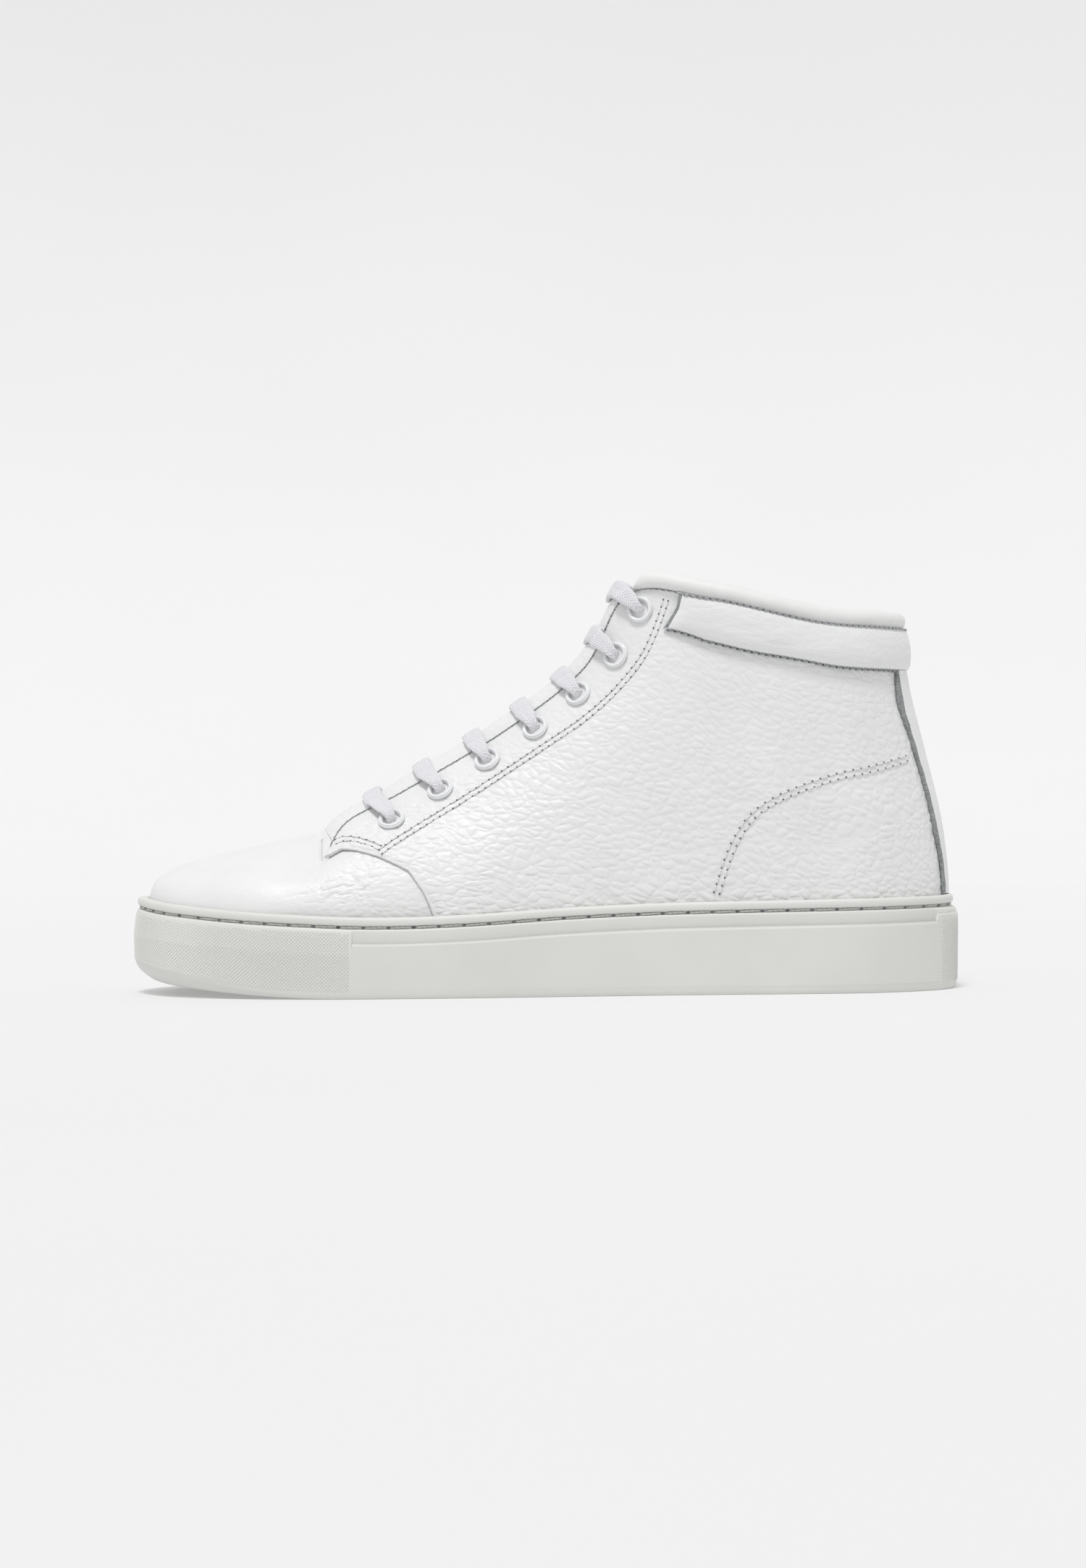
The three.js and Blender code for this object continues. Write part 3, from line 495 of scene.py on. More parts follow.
def leather_material(name, tint, rough=(0.38, 0.56), grain=0.05):
    s = Shader(name, tint, rough[0])
    fine = s.stretched((1, 1.3, 1.5))
    mottled = s.noise(45, 4)
    dark = tuple(c * 0.955 for c in tint)
    s.colour(mottled, [(0.3, dark), (0.7, tint)])
    s.roughness(s.noise(160, 3), *rough)
    s.bump(s.cells(1150, fine), grain)
    s.bump(s.noise(2600, 2, fine), grain * 0.35)
    s.shader.inputs["Coat Weight"].default_value = 0.08
    s.shader.inputs["Coat Roughness"].default_value = 0.35
    return s.material


def raw_edge_material():
    s = Shader("raw_leather_edge", (0.3, 0.315, 0.315), 0.9, 0.2)
    fibres = s.noise(900, 5, s.stretched((1, 1, 3)))
    s.colour(fibres, [(0.3, (0.17, 0.18, 0.185)), (0.72, (0.42, 0.43, 0.43))])
    s.bump(s.noise(1800, 4), 0.25)
    return s.material


def suede_edge_material():
    s = Shader("cut_leather_edge", (0.74, 0.745, 0.75), 0.9, 0.2)
    s.colour(s.noise(700, 4), [(0.3, (0.64, 0.65, 0.655)), (0.7, (0.78, 0.785, 0.79))])
    s.bump(s.noise(1500, 4), 0.12)
    return s.material


def rubber_material():
    s = Shader("sole_rubber", (0.725, 0.73, 0.7), 0.5)
    s.colour(s.noise(30, 4), [(0.3, (0.7, 0.707, 0.677)), (0.7, (0.738, 0.743, 0.715))])
    s.roughness(s.noise(220, 3), 0.42, 0.6)
    s.bump(s.noise(1900, 3), 0.02)
    return s.material


def tread_material():
    s = Shader("tread_rubber", (0.7, 0.705, 0.67), 0.6)
    s.colour(s.noise(40, 4), [(0.3, (0.66, 0.665, 0.63)), (0.7, (0.72, 0.725, 0.69))])
    s.bump(s.noise(1500, 3), 0.04)
    return s.material


def thread_material(name, colour, pitch=0.7):
    s = Shader(name, colour, 0.6, 0.4)
    twist = s.new("ShaderNodeTexWave", wave_type="BANDS", bands_direction="DIAGONAL")
    twist.inputs["Scale"].default_value = 1000 / pitch / 3
    s.links.new(s.place, twist.inputs["Vector"])
    # The twist's grooves are painted darker, in step with its bump: painted shade.
    s.colour(twist.outputs["Fac"], [(0.1, tuple(c * 0.8 for c in colour)), (0.8, colour)])
    s.bump(twist.outputs["Fac"], 0.05)
    return s.material


# Needle holes as near-black dots: painted shade standing in for the pits the needle leaves.
def painted_hole_shade_material():
    s = Shader("needle_hole_painted_shade", (0.12, 0.13, 0.14), 0.95, 0.1)
    s.colour(s.noise(600, 2), [(0.3, (0.1, 0.105, 0.12)), (0.7, (0.24, 0.245, 0.26))])
    return s.material


def lace_material():
    s = Shader("cotton_lace", (0.79, 0.785, 0.82), 0.85, 0.25)
    run = s.attribute("run")
    across = s.attribute("across")
    chevron = s.math("ADD", run, s.math("MULTIPLY", s.math("ABSOLUTE", across), 0.9))
    plait = s.math("SINE", s.math("MULTIPLY", chevron, math.tau / 1.15))
    rib = s.math("SINE", s.math("MULTIPLY", across, math.tau / 0.85))
    woven = s.math("ADD", s.math("MULTIPLY", plait, 0.3), s.math("MULTIPLY", rib, 0.2))
    woven = s.math("ADD", woven, 0.5)
    # The weave is painted darker in its hollows and lighter on its raised parts, in step with its bump:
    # painted shade.
    s.colour(woven, [(0.1, (0.69, 0.685, 0.725)), (0.55, (0.8, 0.795, 0.825)),
                     (1.0, (0.845, 0.842, 0.865))])
    s.bump(woven, 0.22)
    s.bump(s.noise(2400, 4), 0.06)
    s.shader.inputs["Sheen Weight"].default_value = 0.25
    s.shader.inputs["Sheen Roughness"].default_value = 0.5
    return s.material


def enamel_material():
    s = Shader("eyelet_enamel", (0.84, 0.845, 0.86), 0.28)
    s.roughness(s.noise(400, 3), 0.2, 0.36)
    s.bump(s.noise(900, 2), 0.01)
    s.shader.inputs["Coat Weight"].default_value = 0.3
    return s.material


def plain_material(name, low, high, rough, grain_scale=900, grain=0.05):
    s = Shader(name, high, rough, 0.3)
    s.colour(s.noise(grain_scale / 4, 4), [(0.3, low), (0.7, high)])
    s.bump(s.noise(grain_scale, 4), grain)
    return s.material


WHITE = (0.825, 0.827, 0.825)
LEATHER_MAT = leather_material("upper_leather", WHITE)
SMOOTH_LEATHER = leather_material("eyestay_leather", WHITE, (0.4, 0.55), 0.035)
LINING_MAT = leather_material("lining_leather", (0.82, 0.82, 0.812), (0.5, 0.7), 0.04)
RAW = raw_edge_material()
CUT = suede_edge_material()
RUBBER = rubber_material()
TREAD = tread_material()
THREAD = thread_material("white_thread", (0.86, 0.86, 0.86))
GREY_THREAD = thread_material("grey_thread", (0.36, 0.37, 0.385))
SOLE_THREAD = thread_material("sole_thread", (0.55, 0.55, 0.52), 1.1)
# HOLE: painted shade for the needle holes, as dark dots.
HOLE = painted_hole_shade_material()
LACE_MAT = lace_material()
ENAMEL = enamel_material()
FOAM_MAT = plain_material("foam", (0.7, 0.65, 0.48), (0.82, 0.77, 0.6), 0.95, 1200, 0.2)
BOARD_MAT = plain_material("fibre_board", (0.5, 0.42, 0.3), (0.62, 0.53, 0.39), 0.9, 500, 0.1)
STIFF_MAT = plain_material("stiffener", (0.66, 0.62, 0.54), (0.74, 0.7, 0.62), 0.85, 700, 0.08)
FILM = plain_material("aglet_film", (0.8, 0.8, 0.81), (0.86, 0.86, 0.87), 0.25, 300, 0.02)


def finish_piece(ob, slot, *nodes):
    """Puts a piece on the shoe in place of its CAD nodes."""
    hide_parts(*nodes)
    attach(ob, "shoe")
    return ob


# ---- upper ---------------------------------------------------------------------------------------
FRONT_U, FRONT_V = locate(*np.array(QUARTER_FRONT).T)
LINING_SEAM = 4.3  # station where the vamp's lining meets the quarters'
THROAT_FROM, THROAT_TO = 3.2, 8.1  # stations where the facings' edges start and end
HEEL_SEAM = 0.012  # half the gap between the quarters at the heel, in stations
VAMP_SKIVE, QUARTER_SKIVE = 0.8 * LEATHER, 0.85  # mm taken off the leather at its thin edges


def quarter_start(v):
    """Station where the quarter begins on each row."""
    order = np.argsort(FRONT_V)
    return np.interp(v, FRONT_V[order], FRONT_U[order])


def vamp_sink(u, v):
    """How far the vamp dips under the quarters."""
    return -(LEATHER + GAP) * smoothstep(-102, -82, surface(u, v)[..., 0])


def flex_creases(p):
    """Creases where the toes bend, low on both sides of the vamp."""
    x, z = p[..., 0], p[..., 2]
    middle = np.exp(-((x + 70) / 15) ** 2 - ((z - 39) / 6) ** 2)
    bend = np.stack([x * 0.22 + z * 0.12, p[..., 1] * 0.02, z * 0.42 - x * 0.17], axis=-1)
    lines = np.abs(value_noise(bend, 31))
    finer = np.abs(value_noise(bend * 2.1, 37))
    return -middle * (0.55 * np.exp(-lines * 6) + 0.25 * np.exp(-finer * 6))


def quarter_relief(p, v):
    """Grain that deepens towards the sole and fades on the eyestay."""
    eyestay = smoothstep(4.1, 4.6, v)
    low = smoothstep(125, 60, p[..., 2])
    strength = (0.75 + 0.35 * low) * (1 - 0.5 * eyestay)
    return leather_relief(p, strength, (0.5 + 0.9 * low) * (1 - eyestay))


def quarter(name, side):
    """The leather of one side, skived thin where it lies on the vamp."""
    columns, rows = 620, 300
    v = np.linspace(0.0, TOP, rows)[None]
    start = quarter_start(v)
    share = np.linspace(0, 1, columns)[:, None]
    u = start + (HEEL - HEEL_SEAM - start) * share
    v = np.broadcast_to(v, u.shape)
    place = on_side(u, side)
    relief = quarter_relief(surface(place, v), v)
    edge = np.minimum(share * columns, (TOP - v) * rows / TOP) / 4
    relief = relief * np.clip(edge, 0, 1)
    skived = np.clip(1 - share * columns / 10, 0, 1) ** 2 * smoothstep(4.2, 3.4, v)
    outer = skin(place, v, relief - QUARTER_SKIVE * skived)
    inner = skin(place, v, np.full(u.shape, -LEATHER))
    ob = shell(f"{name}_leather", outer, inner, [LEATHER_MAT, CUT])
    return finish_piece(ob, "upper_leather", name)


def vamp():
    """The toe leather, ending in a thin edge where the tongue starts."""
    columns, rows = 520, 200
    v = np.linspace(0.0, TOP, rows)[None]
    reach = quarter_start(v) + 0.3 * smoothstep(TOP, 4.4, v)
    reach = np.minimum(reach, along([5.2, 5.2, 4.9, 4.6, 4.2, 3.15], np.clip(v, 0, 5)))
    share = np.linspace(-1, 1, columns)[:, None]
    u = share * reach
    v = np.broadcast_to(v, u.shape)
    base = surface(u, v)
    toe = smoothstep(-85, -60, base[..., 0])
    relief = leather_relief(base, 0.14 + 0.5 * toe, 0.1 + 0.3 * toe) + flex_creases(base)
    relief = relief * np.clip((TOP - v) * 12, 0, 1)
    sink = vamp_sink(u, v)
    skived = np.clip(1 - (TOP - v) * 5, 0, 1) ** 2
    outer = skin(u, v, sink + relief - VAMP_SKIVE * skived)
    inner = skin(u, v, sink - LEATHER)
    ob = shell("vamp_leather", outer, inner, [LEATHER_MAT, CUT], (1, 1, 1, 0))
    return finish_piece(ob, "upper_leather", "vamp")


def vamp_lining_depth(u, v):
    return np.minimum(LINING_TOP, vamp_sink(u, v) - LEATHER - GAP)


def quarter_lining_depth(u, v):
    return LINING_TOP - collar_pad(u, v)


def lining(name, node, first, last, rows, depth):
    """Soft leather inside the shoe between two stations, at a depth given by a function."""
    columns = 260
    u, v = np.meshgrid(np.linspace(first, last, columns), np.linspace(0, TOP, rows), indexing="ij")
    top = depth(u, v)
    base = surface(u, v)
    crumple = 0.12 * fractal(base / np.array([9, 9, 6]), 3, 51)
    inner = skin(u, v, top - LINING - crumple)
    ob = shell(name, skin(u, v, top), inner, [LINING_MAT, LINING_MAT])
    return finish_piece(ob, "lining_leather", node)


def throat_edges():
    """The painted edges of the facings, which close the layers of leather and stiffener."""
    for name, side in SIDES.items():
        u = on_side(np.linspace(THROAT_FROM, THROAT_TO, 300), side)[:, None]
        depth = np.linspace(-0.75, LINING_BOTTOM + 0.05, 14)[None]
        u, depth = np.broadcast_arrays(u, depth)
        _, up, _ = skin_frame(u, TOP)
        base = skin(u, TOP + 0 * u, depth)
        roundness = np.sin(np.pi * (depth - depth[0, 0]) / (depth[0, -1] - depth[0, 0]))[..., None]
        ob = shell(f"throat_edge_{name}", base + up * (0.15 + 0.35 * roundness), base - up * 0.5,
                   [SMOOTH_LEATHER, SMOOTH_LEATHER], bulge=0.05)
        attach(ob, "shoe")


def collar_pad(u, v):
    """Depth of the foam between the collar band and the lining."""
    turned = smoothstep(8.2, 9, u) * smoothstep(8.2, 9, STATIONS - u)
    return COLLAR_PAD * turned * smoothstep(3.7, 4.4, v)


def backstay():
    """The strip down the heel, its front edges left raw in a ragged grey band."""
    raw, rows = 6, 420
    v = np.linspace(1.02, 4.235, rows)[None]
    front_u, front_v = locate(*np.array(BACKSTAY_FRONT).T)
    ragged = fractal(np.stack([v * 6, v * 0, v * 0], axis=-1), 3, 9)
    half = HEEL - along(front_u[:, None], np.interp(v, front_v, np.arange(len(front_v))))[..., 0]
    half = half + 0.01 * ragged
    width = 0.045 + 0.025 * ragged + 0.06 * np.exp(-((v - 3.75) / 0.35) ** 2)
    middle = np.linspace(-1, 1, 80)[:, None] * (half - width)
    left = -half + np.linspace(0, 1, raw, endpoint=False)[:, None] * width
    across = np.concatenate([left, middle, -left[::-1]])
    u = HEEL + across
    v = np.broadcast_to(v, u.shape)
    relief = 0.25 * leather_relief(surface(u, v), 1, 0.2)
    away = np.clip((half - np.abs(across)) / width, 0, 1)
    outer = skin(u, v, 1.1 + 0.4 * np.sqrt(away) + relief * away)
    inner = skin(u, v, np.full(u.shape, 0.12))
    slots = np.zeros(len(across) - 1, int)
    slots[:raw] = slots[-raw:] = 1
    ob = shell("backstay_leather", outer, inner, [SMOOTH_LEATHER, RAW], (1, 1, 0, 0), 0.15, slots)
    return finish_piece(ob, "upper_leather", "backstay")


# ---- collar --------------------------------------------------------------------------------------
LOWER_U, LOWER_V = locate(*np.array(BAND_LOWER).T)


def band_lower(u):
    """Row of the collar band's lower edge at each station."""
    near = np.where(u > HEEL, STATIONS - u, u)
    return np.interp(near, LOWER_U, LOWER_V)


def collar_band():
    """The padded band round the ankle, its front edges raw."""
    columns, rows = 560, 90
    share = np.linspace(0, 1, columns)[:, None]
    climb = np.linspace(0, 1, rows)[None]
    front_u, front_v = locate(*np.array(BAND_FRONT).T)
    start = np.interp(climb, (front_v - front_v[0]) / (TOP - front_v[0]), front_u)
    u = start + (STATIONS - 2 * start) * share
    low = band_lower(u)
    v = low + (TOP - low) * climb
    pad = (np.sin(np.pi * climb ** 0.85) ** 0.5) * np.minimum(1, (1 - np.abs(2 * share - 1)) * 26) ** 0.6
    base = surface(u, v)
    folds = 0.22 * fractal(base / np.array([14, 14, 5.5]), 3, 61) * pad
    grain = leather_relief(base, 0.3, 0.5)
    lift = LEATHER + 0.25 + (BAND_BULGE + 0.5) * pad + folds + grain
    outer = skin(u, v, lift)
    inner = skin(u, v, np.full(u.shape, 0.12))
    slots = np.zeros(columns - 1, int)
    slots[:3] = slots[-3:] = 1
    ob = shell("collar_band_leather", outer, inner, [SMOOTH_LEATHER, RAW, CUT], (1, 1, 2, 2), 0.45, slots)
    finish_piece(ob, "upper_leather", "collar_band")
    return ob


def top_outward(u):
    """The level direction straight out of the shoe along the top line."""
    e = 0.05
    d = unit(surface(u + e, TOP) - surface(u - e, TOP))
    return unit(np.stack([d[..., 1], -d[..., 0], d[..., 0] * 0], axis=-1))


ROLL_FROM = 8.03  # station where the roll starts


def collar_roll():
    """The lining rolled over the collar's foam and sewn down behind the band."""
    columns, around = 700, 44
    u = np.linspace(ROLL_FROM, STATIONS - ROLL_FROM, columns)
    rim = surface(u, TOP)
    away = top_outward(u)
    up = np.array([0, 0, 1.0])
    ends = np.minimum(np.arange(columns), np.arange(columns)[::-1]) / 30
    taper = np.clip(1 - (1 - np.clip(ends, 0, 1)) ** 2, 0.04, 1) ** 0.6
    angle = np.linspace(0, 2 * math.pi, around, endpoint=False)
    wide = 3.9 * taper[:, None] * np.cos(angle)
    tall = 3.5 * taper[:, None] * np.sin(angle)
    middle = rim - 1.9 * away + up * 2.75 * taper[:, None] ** 1.5
    p = middle[:, None] + wide[..., None] * away[:, None] + tall[..., None] * up
    swell = 0.3 * fractal(p / 11, 2, 71) + 0.12 * fractal(p / np.array([3, 3, 5]), 2, 75)
    radial = unit(p - middle[:, None])
    p = p + radial * (swell * taper[:, None])[..., None]
    points = p.reshape(-1, 3)
    centres = np.array([points[:around].mean(0), points[-around:].mean(0)])
    k = np.arange(around)
    after = (k + 1) % around
    last = (columns - 1) * around
    cap_a = np.stack([np.full(around, len(points)), k, after], -1)
    cap_b = np.stack([np.full(around, len(points) + 1), last + after, last + k], -1)
    faces = [tube_faces(columns, around), cap_a, cap_b]
    ob = mesh_object("collar_roll_leather", np.concatenate([points, centres]), faces, [LINING_MAT])
    mend(ob)
    finish_piece(ob, "lining_leather", "collar_roll")
    return ob


# ---- tongue --------------------------------------------------------------------------------------
TONGUE_FROM, TONGUE_TO = 3.25, 8.1
TONGUE_SWELL = 1.7  # how far the padding pushes up between the facings and the ridge


def tongue_surface(u, s):
    """The tongue at station u; s runs from -3 at its lateral edge to 3 at its medial one."""
    u, s = np.broadcast_arrays(np.asarray(u, float), np.asarray(s, float))
    ridge = along(RIDGE, u - 3)
    middle = np.stack([ridge[..., 0], 0 * u, ridge[..., 1]], axis=-1)
    rails = [skin(u, 0 * u + 3.95, np.full(u.shape, -7.8)), skin(u, 0 * u + 4.4, np.full(u.shape, -7.5)),
             skin(u, 0 * u + 5, np.full(u.shape, -5.9)), middle]
    far = STATIONS - u
    rails += [skin(far, 0 * u + 5, np.full(u.shape, -5.9)), skin(far, 0 * u + 4.4, np.full(u.shape, -7.5)),
              skin(far, 0 * u + 3.95, np.full(u.shape, -7.8))]
    p = np.stack(rails)
    before = 3 * p[0] - 3 * p[1] + p[2]
    after = 3 * p[6] - 3 * p[5] + p[4]
    p = np.concatenate([before[None], p, after[None]])
    t = s + 3
    i = np.clip(np.floor(t).astype(int), 0, 5)
    take = [np.take_along_axis(p, (i + k)[None, ..., None], axis=0)[0] for k in range(4)]
    near = np.clip(np.abs(s), 0, 1)
    swell = TONGUE_SWELL * 4 * near * (1 - near)
    direction = np.stack([-0.4 + 0 * s, 0.55 * np.sign(s), 0.73 + 0 * s], axis=-1)
    return catmull(*take, (t - i)[..., None]) + direction * swell[..., None]


def tongue_frame(u, s):
    """Directions up the tongue and across it, and the outward normal."""
    e = 0.03
    du = unit(tongue_surface(u + e, s) - tongue_surface(u - e, s))
    ds = unit(tongue_surface(u, s + e) - tongue_surface(u, s - e))
    return du, ds, -unit(np.cross(ds, du))


def tongue_skin(u, s, offset):
    return tongue_surface(u, s) + tongue_frame(u, s)[2] * np.asarray(offset)[..., None]


def tongue_grain(p):
    return leather_relief(p, 0.7, 0.3) + 0.25 * fractal(p / 12, 2, 41)


def no_relief(p):
    return 0 * p[..., 0]


def tongue_piece(name, node, mats, top, thickness, relief, reach=3.0, rim=0.0):
    """One layer of the tongue; rim is how far its edge is turned down over the layers below."""
    columns, rows = 340, 150
    climb = np.linspace(0, 1, columns)[:, None]
    s = np.linspace(-reach, reach, rows)[None]
    round_top = 0.22 * (np.abs(s) / 3) ** 4 + 0.1 * (3 - reach)
    u = TONGUE_FROM + (TONGUE_TO - round_top - TONGUE_FROM) * climb
    s = np.broadcast_to(s, u.shape)
    edge = np.minimum((reach - np.abs(s)) * 3, (1 - climb) * 18)
    squeeze = np.sqrt(np.clip(1 - (1 - np.clip(edge, 0, 1)) ** 2, 0, 1))
    base = tongue_surface(u, s)
    lift = relief(base) * squeeze
    outer = tongue_skin(u, s, top - min(thickness * 0.35, 0.4) * (1 - squeeze) + lift)
    turned = np.maximum(reach - np.abs(s) < 0.11, 1 - climb < 0.009) * (climb > 0.05)
    inner = tongue_skin(u, s, top - thickness - rim * turned)
    ob = shell(name, outer, inner, mats, bulge=0.3)
    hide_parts(node)
    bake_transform(ob)
    return ob


def tongue_base():
    """The foot of the tongue, running in under the edge of the vamp."""
    s = np.linspace(-2.6, 2.6, 220)[None]
    t = np.linspace(0, 1, 60)[:, None]
    u = -s * 4.4 / 2.6
    around = np.where(u < 0, u + STATIONS, u)
    tucked = 4.72 - 0.5 * smoothstep(3, 4.4, np.abs(u))
    start = skin(around, tucked, vamp_sink(around, tucked) - LEATHER - 0.2)
    leaving = skin_frame(around, tucked)[1] * 13
    end = tongue_skin(4.05 + 0 * s, s, -0.25 + 0 * s)
    arriving = tongue_frame(4.05 + 0 * s, s)[0] * 15
    h = [2 * t ** 3 - 3 * t ** 2 + 1, t ** 3 - 2 * t ** 2 + t, 3 * t ** 2 - 2 * t ** 3, t ** 3 - t ** 2]
    h = [k[..., None] for k in h]
    outer = start * h[0] + leaving * h[1] + end * h[2] + arriving * h[3]
    across = unit(np.gradient(outer, axis=1))
    forwards = unit(np.gradient(outer, axis=0))
    normal = unit(np.cross(forwards, across))
    normal = normal * np.sign(normal[..., 2:])
    outer = outer + normal * (0.1 * fractal(outer / 9, 2, 43))[..., None]
    ob = shell("tongue_base_leather", outer, outer - normal * 1.1, [SMOOTH_LEATHER, CUT])
    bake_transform(ob)


# ---- eyelets and lace ----------------------------------------------------------------------------
HOLE_U, HOLE_V = locate(*np.array(EYELET_ROWS).T)
SIDES = {"lateral": -1, "medial": 1}


class Hole:
    """Where an eyelet sits, and its directions: out, towards the throat, and up the shoe."""

    def __init__(self, row, side):
        self.u = on_side(HOLE_U[row], side)
        self.v = HOLE_V[row]
        du, dv, self.normal = skin_frame(self.u, self.v)
        self.centre = surface(self.u, self.v)
        self.inwards = dv
        self.up = du if side < 0 else -du
        _, self.rim_dv, self.rim_normal = skin_frame(self.u, TOP)
        self.rim = surface(self.u, TOP)


def lathe(profile, segments, centre, normal, materials, name):
    """A ring turned round the normal from a closed profile of radius and height."""
    side = unit(np.cross(normal, [0.3, 0.2, 0.9]))
    other = np.cross(normal, side)
    profile = np.array(profile)
    angle = np.linspace(0, 2 * math.pi, segments, endpoint=False)
    ring = np.cos(angle)[:, None] * side + np.sin(angle)[:, None] * other
    points = centre + ring[:, None] * profile[None, :, :1] + normal * profile[None, :, 1:]
    count = len(profile)
    i = np.arange(segments)[:, None]
    j = np.arange(count)[None]
    nxt_i, nxt_j = (i + 1) % segments, (j + 1) % count
    faces = np.stack([i * count + j, nxt_i * count + j, nxt_i * count + nxt_j, i * count + nxt_j], -1)
    ob = mesh_object(name, points.reshape(-1, 3), [faces.reshape(-1, 4)], materials)
    mend(ob)
    return ob


def eyelet(name, hole):
    """A painted metal ring, rolled over in front and clenched behind the lining."""
    bore, outer = EYELET_BORE, EYELET_RADIUS
    bend = [(bore + 0.95 - 0.95 * math.cos(a), 0.35 + 1.05 * math.sin(a)) for a in np.linspace(0, 1.9, 9)]
    rim = [(outer - 0.45 + 0.45 * math.sin(a), 0.5 + 0.5 * math.cos(a)) for a in np.linspace(0, 2.6, 7)]
    tail = LINING_BOTTOM
    back = [(bore + 0.45, 0.1), (bore + 0.42, tail - 0.4), (bore + 0.8, tail - 0.45),
            (bore + 1.05, tail - 0.7), (bore + 0.9, tail - 0.95), (bore + 0.4, tail - 1.0),
            (bore, tail - 0.7)]
    ob = lathe(bend + rim + back, 56, hole.centre, hole.normal, [ENAMEL], f"{name}_ring")
    return finish_piece(ob, "eyelet_enamel", name)


def knot(point, across, width=LACE_WIDTH, thickness=LACE_THICKNESS):
    """A point on the lace's route, the direction of the lace's width there, and its size."""
    return (point, across, width, thickness)


def through_eyelet(hole):
    """From the rim of the throat down through the hole."""
    def over(inwards, height):
        return hole.centre + hole.inwards * inwards + hole.normal * height
    pinch = LACE_PINCHED
    return [knot(hole.rim + hole.rim_normal * 1.7 + hole.rim_dv * 1.2, hole.up, 7.2),
            knot(over(5.2, 2.5), hole.up, 6.4, 1.5), knot(over(2.1, 2.6), hole.up, 4.6, 1.8),
            knot(over(0.2, 1.2), hole.up, pinch, 2), knot(over(0, -1.2), hole.up, pinch, 2),
            knot(over(0.1, -3.4), hole.up, pinch, 1.8)]


def beside_hole(hole, along_shoe):
    """Below the hole, turning from across the shoe to run up it (1) or back down it (-1)."""
    deep = hole.centre + hole.normal * UNDER_RUN_DEPTH

    def below(inwards, up):
        return deep + hole.inwards * inwards + hole.up * up
    return [knot(below(-2, 0), hole.up, 4.4, 1.4),
            knot(below(-4.6, 1.5 * along_shoe), unit(hole.up + hole.inwards * along_shoe), 4.6, 1.4)]


def under_run(row, side):
    """Between the lining and the tongue, from one hole to the next above it."""
    def between(t):
        u = HOLE_U[row] + (HOLE_U[row + 1] - HOLE_U[row]) * t
        v = HOLE_V[row] + (HOLE_V[row + 1] - HOLE_V[row]) * t - UNDER_RUN_DROP
        place = on_side(u, side)
        return knot(skin(place, v, UNDER_RUN_DEPTH), skin_frame(place, v)[1], 5, 1.4)
    return [*beside_hole(Hole(row, side), 1), between(0.4), between(0.6),
            *beside_hole(Hole(row + 1, side), -1)[::-1]]


def bar_across(row, side):
    """Over the ridge of the tongue at one row, starting on the given side."""
    u = HOLE_U[row]
    knots = []
    for s, height in ((0.85, 1.5), (0.42, 1.3), (0, 1.25), (-0.42, 1.3), (-0.85, 1.5)):
        du, _, normal = tongue_frame(u, s * side)
        knots.append(knot(tongue_surface(u, s * side) + normal * height, du))
    return knots


TUCKS = {
    "lateral": [(5.05, 4, -5), (5.5, 3.7, -4.8), (6.2, 3.55, -4.7), (7, 3.5, -4.7), (7.8, 3.5, -4.7),
                (8.4, 3.35, -4.7), (8.7, 3, -4.7), (8.95, 2.6, -4.9), (9.1, 2.2, -5.4)],
    "medial": [(8.25, 3.75, -5.1), (8.5, 3.4, -4.7), (8.75, 3, -4.6), (8.95, 2.6, -4.8), (9.1, 2.2, -5.4),
               (9.2, 1.8, -5.8)],
}


def tuck_knots(name):
    """One end of the lace, lying against the lining inside the shoe."""
    knots = []
    for u, v, depth in TUCKS[name]:
        place = on_side(u, SIDES[name])
        knots.append(knot(skin(place, v, depth), skin_frame(place, v)[1], 5, 1.5))
    return knots


def lace_knots():
    """A bar straight across each row; under the facings the lace climbs from each bar to the next."""
    side = SIDES["lateral"]
    knots = tuck_knots("lateral")[::-1] + beside_hole(Hole(0, side), 1)[:1]
    for row in range(len(EYELET_ROWS)):
        if row > 0:
            knots += under_run(row - 1, side)
        knots += through_eyelet(Hole(row, side))[::-1] + bar_across(row, side)
        side = -side
        knots += through_eyelet(Hole(row, side))
    knots += beside_hole(Hole(len(EYELET_ROWS) - 1, side), 1)[:1] + tuck_knots("medial")
    steady = [knots[0]]
    for k in knots[1:]:
        turn = 1 if np.dot(k[1], steady[-1][1]) >= 0 else -1
        steady.append((k[0], k[1] * turn, k[2], k[3]))
    return steady


def smoothed(values, reach):
    """Each row of values averaged with that many neighbours on both sides."""
    padded = np.pad(values, ((reach, reach), (0, 0)), "edge")
    window = np.ones(2 * reach + 1) / (2 * reach + 1)
    return np.stack([np.convolve(column, window, "valid") for column in padded.T], axis=1)


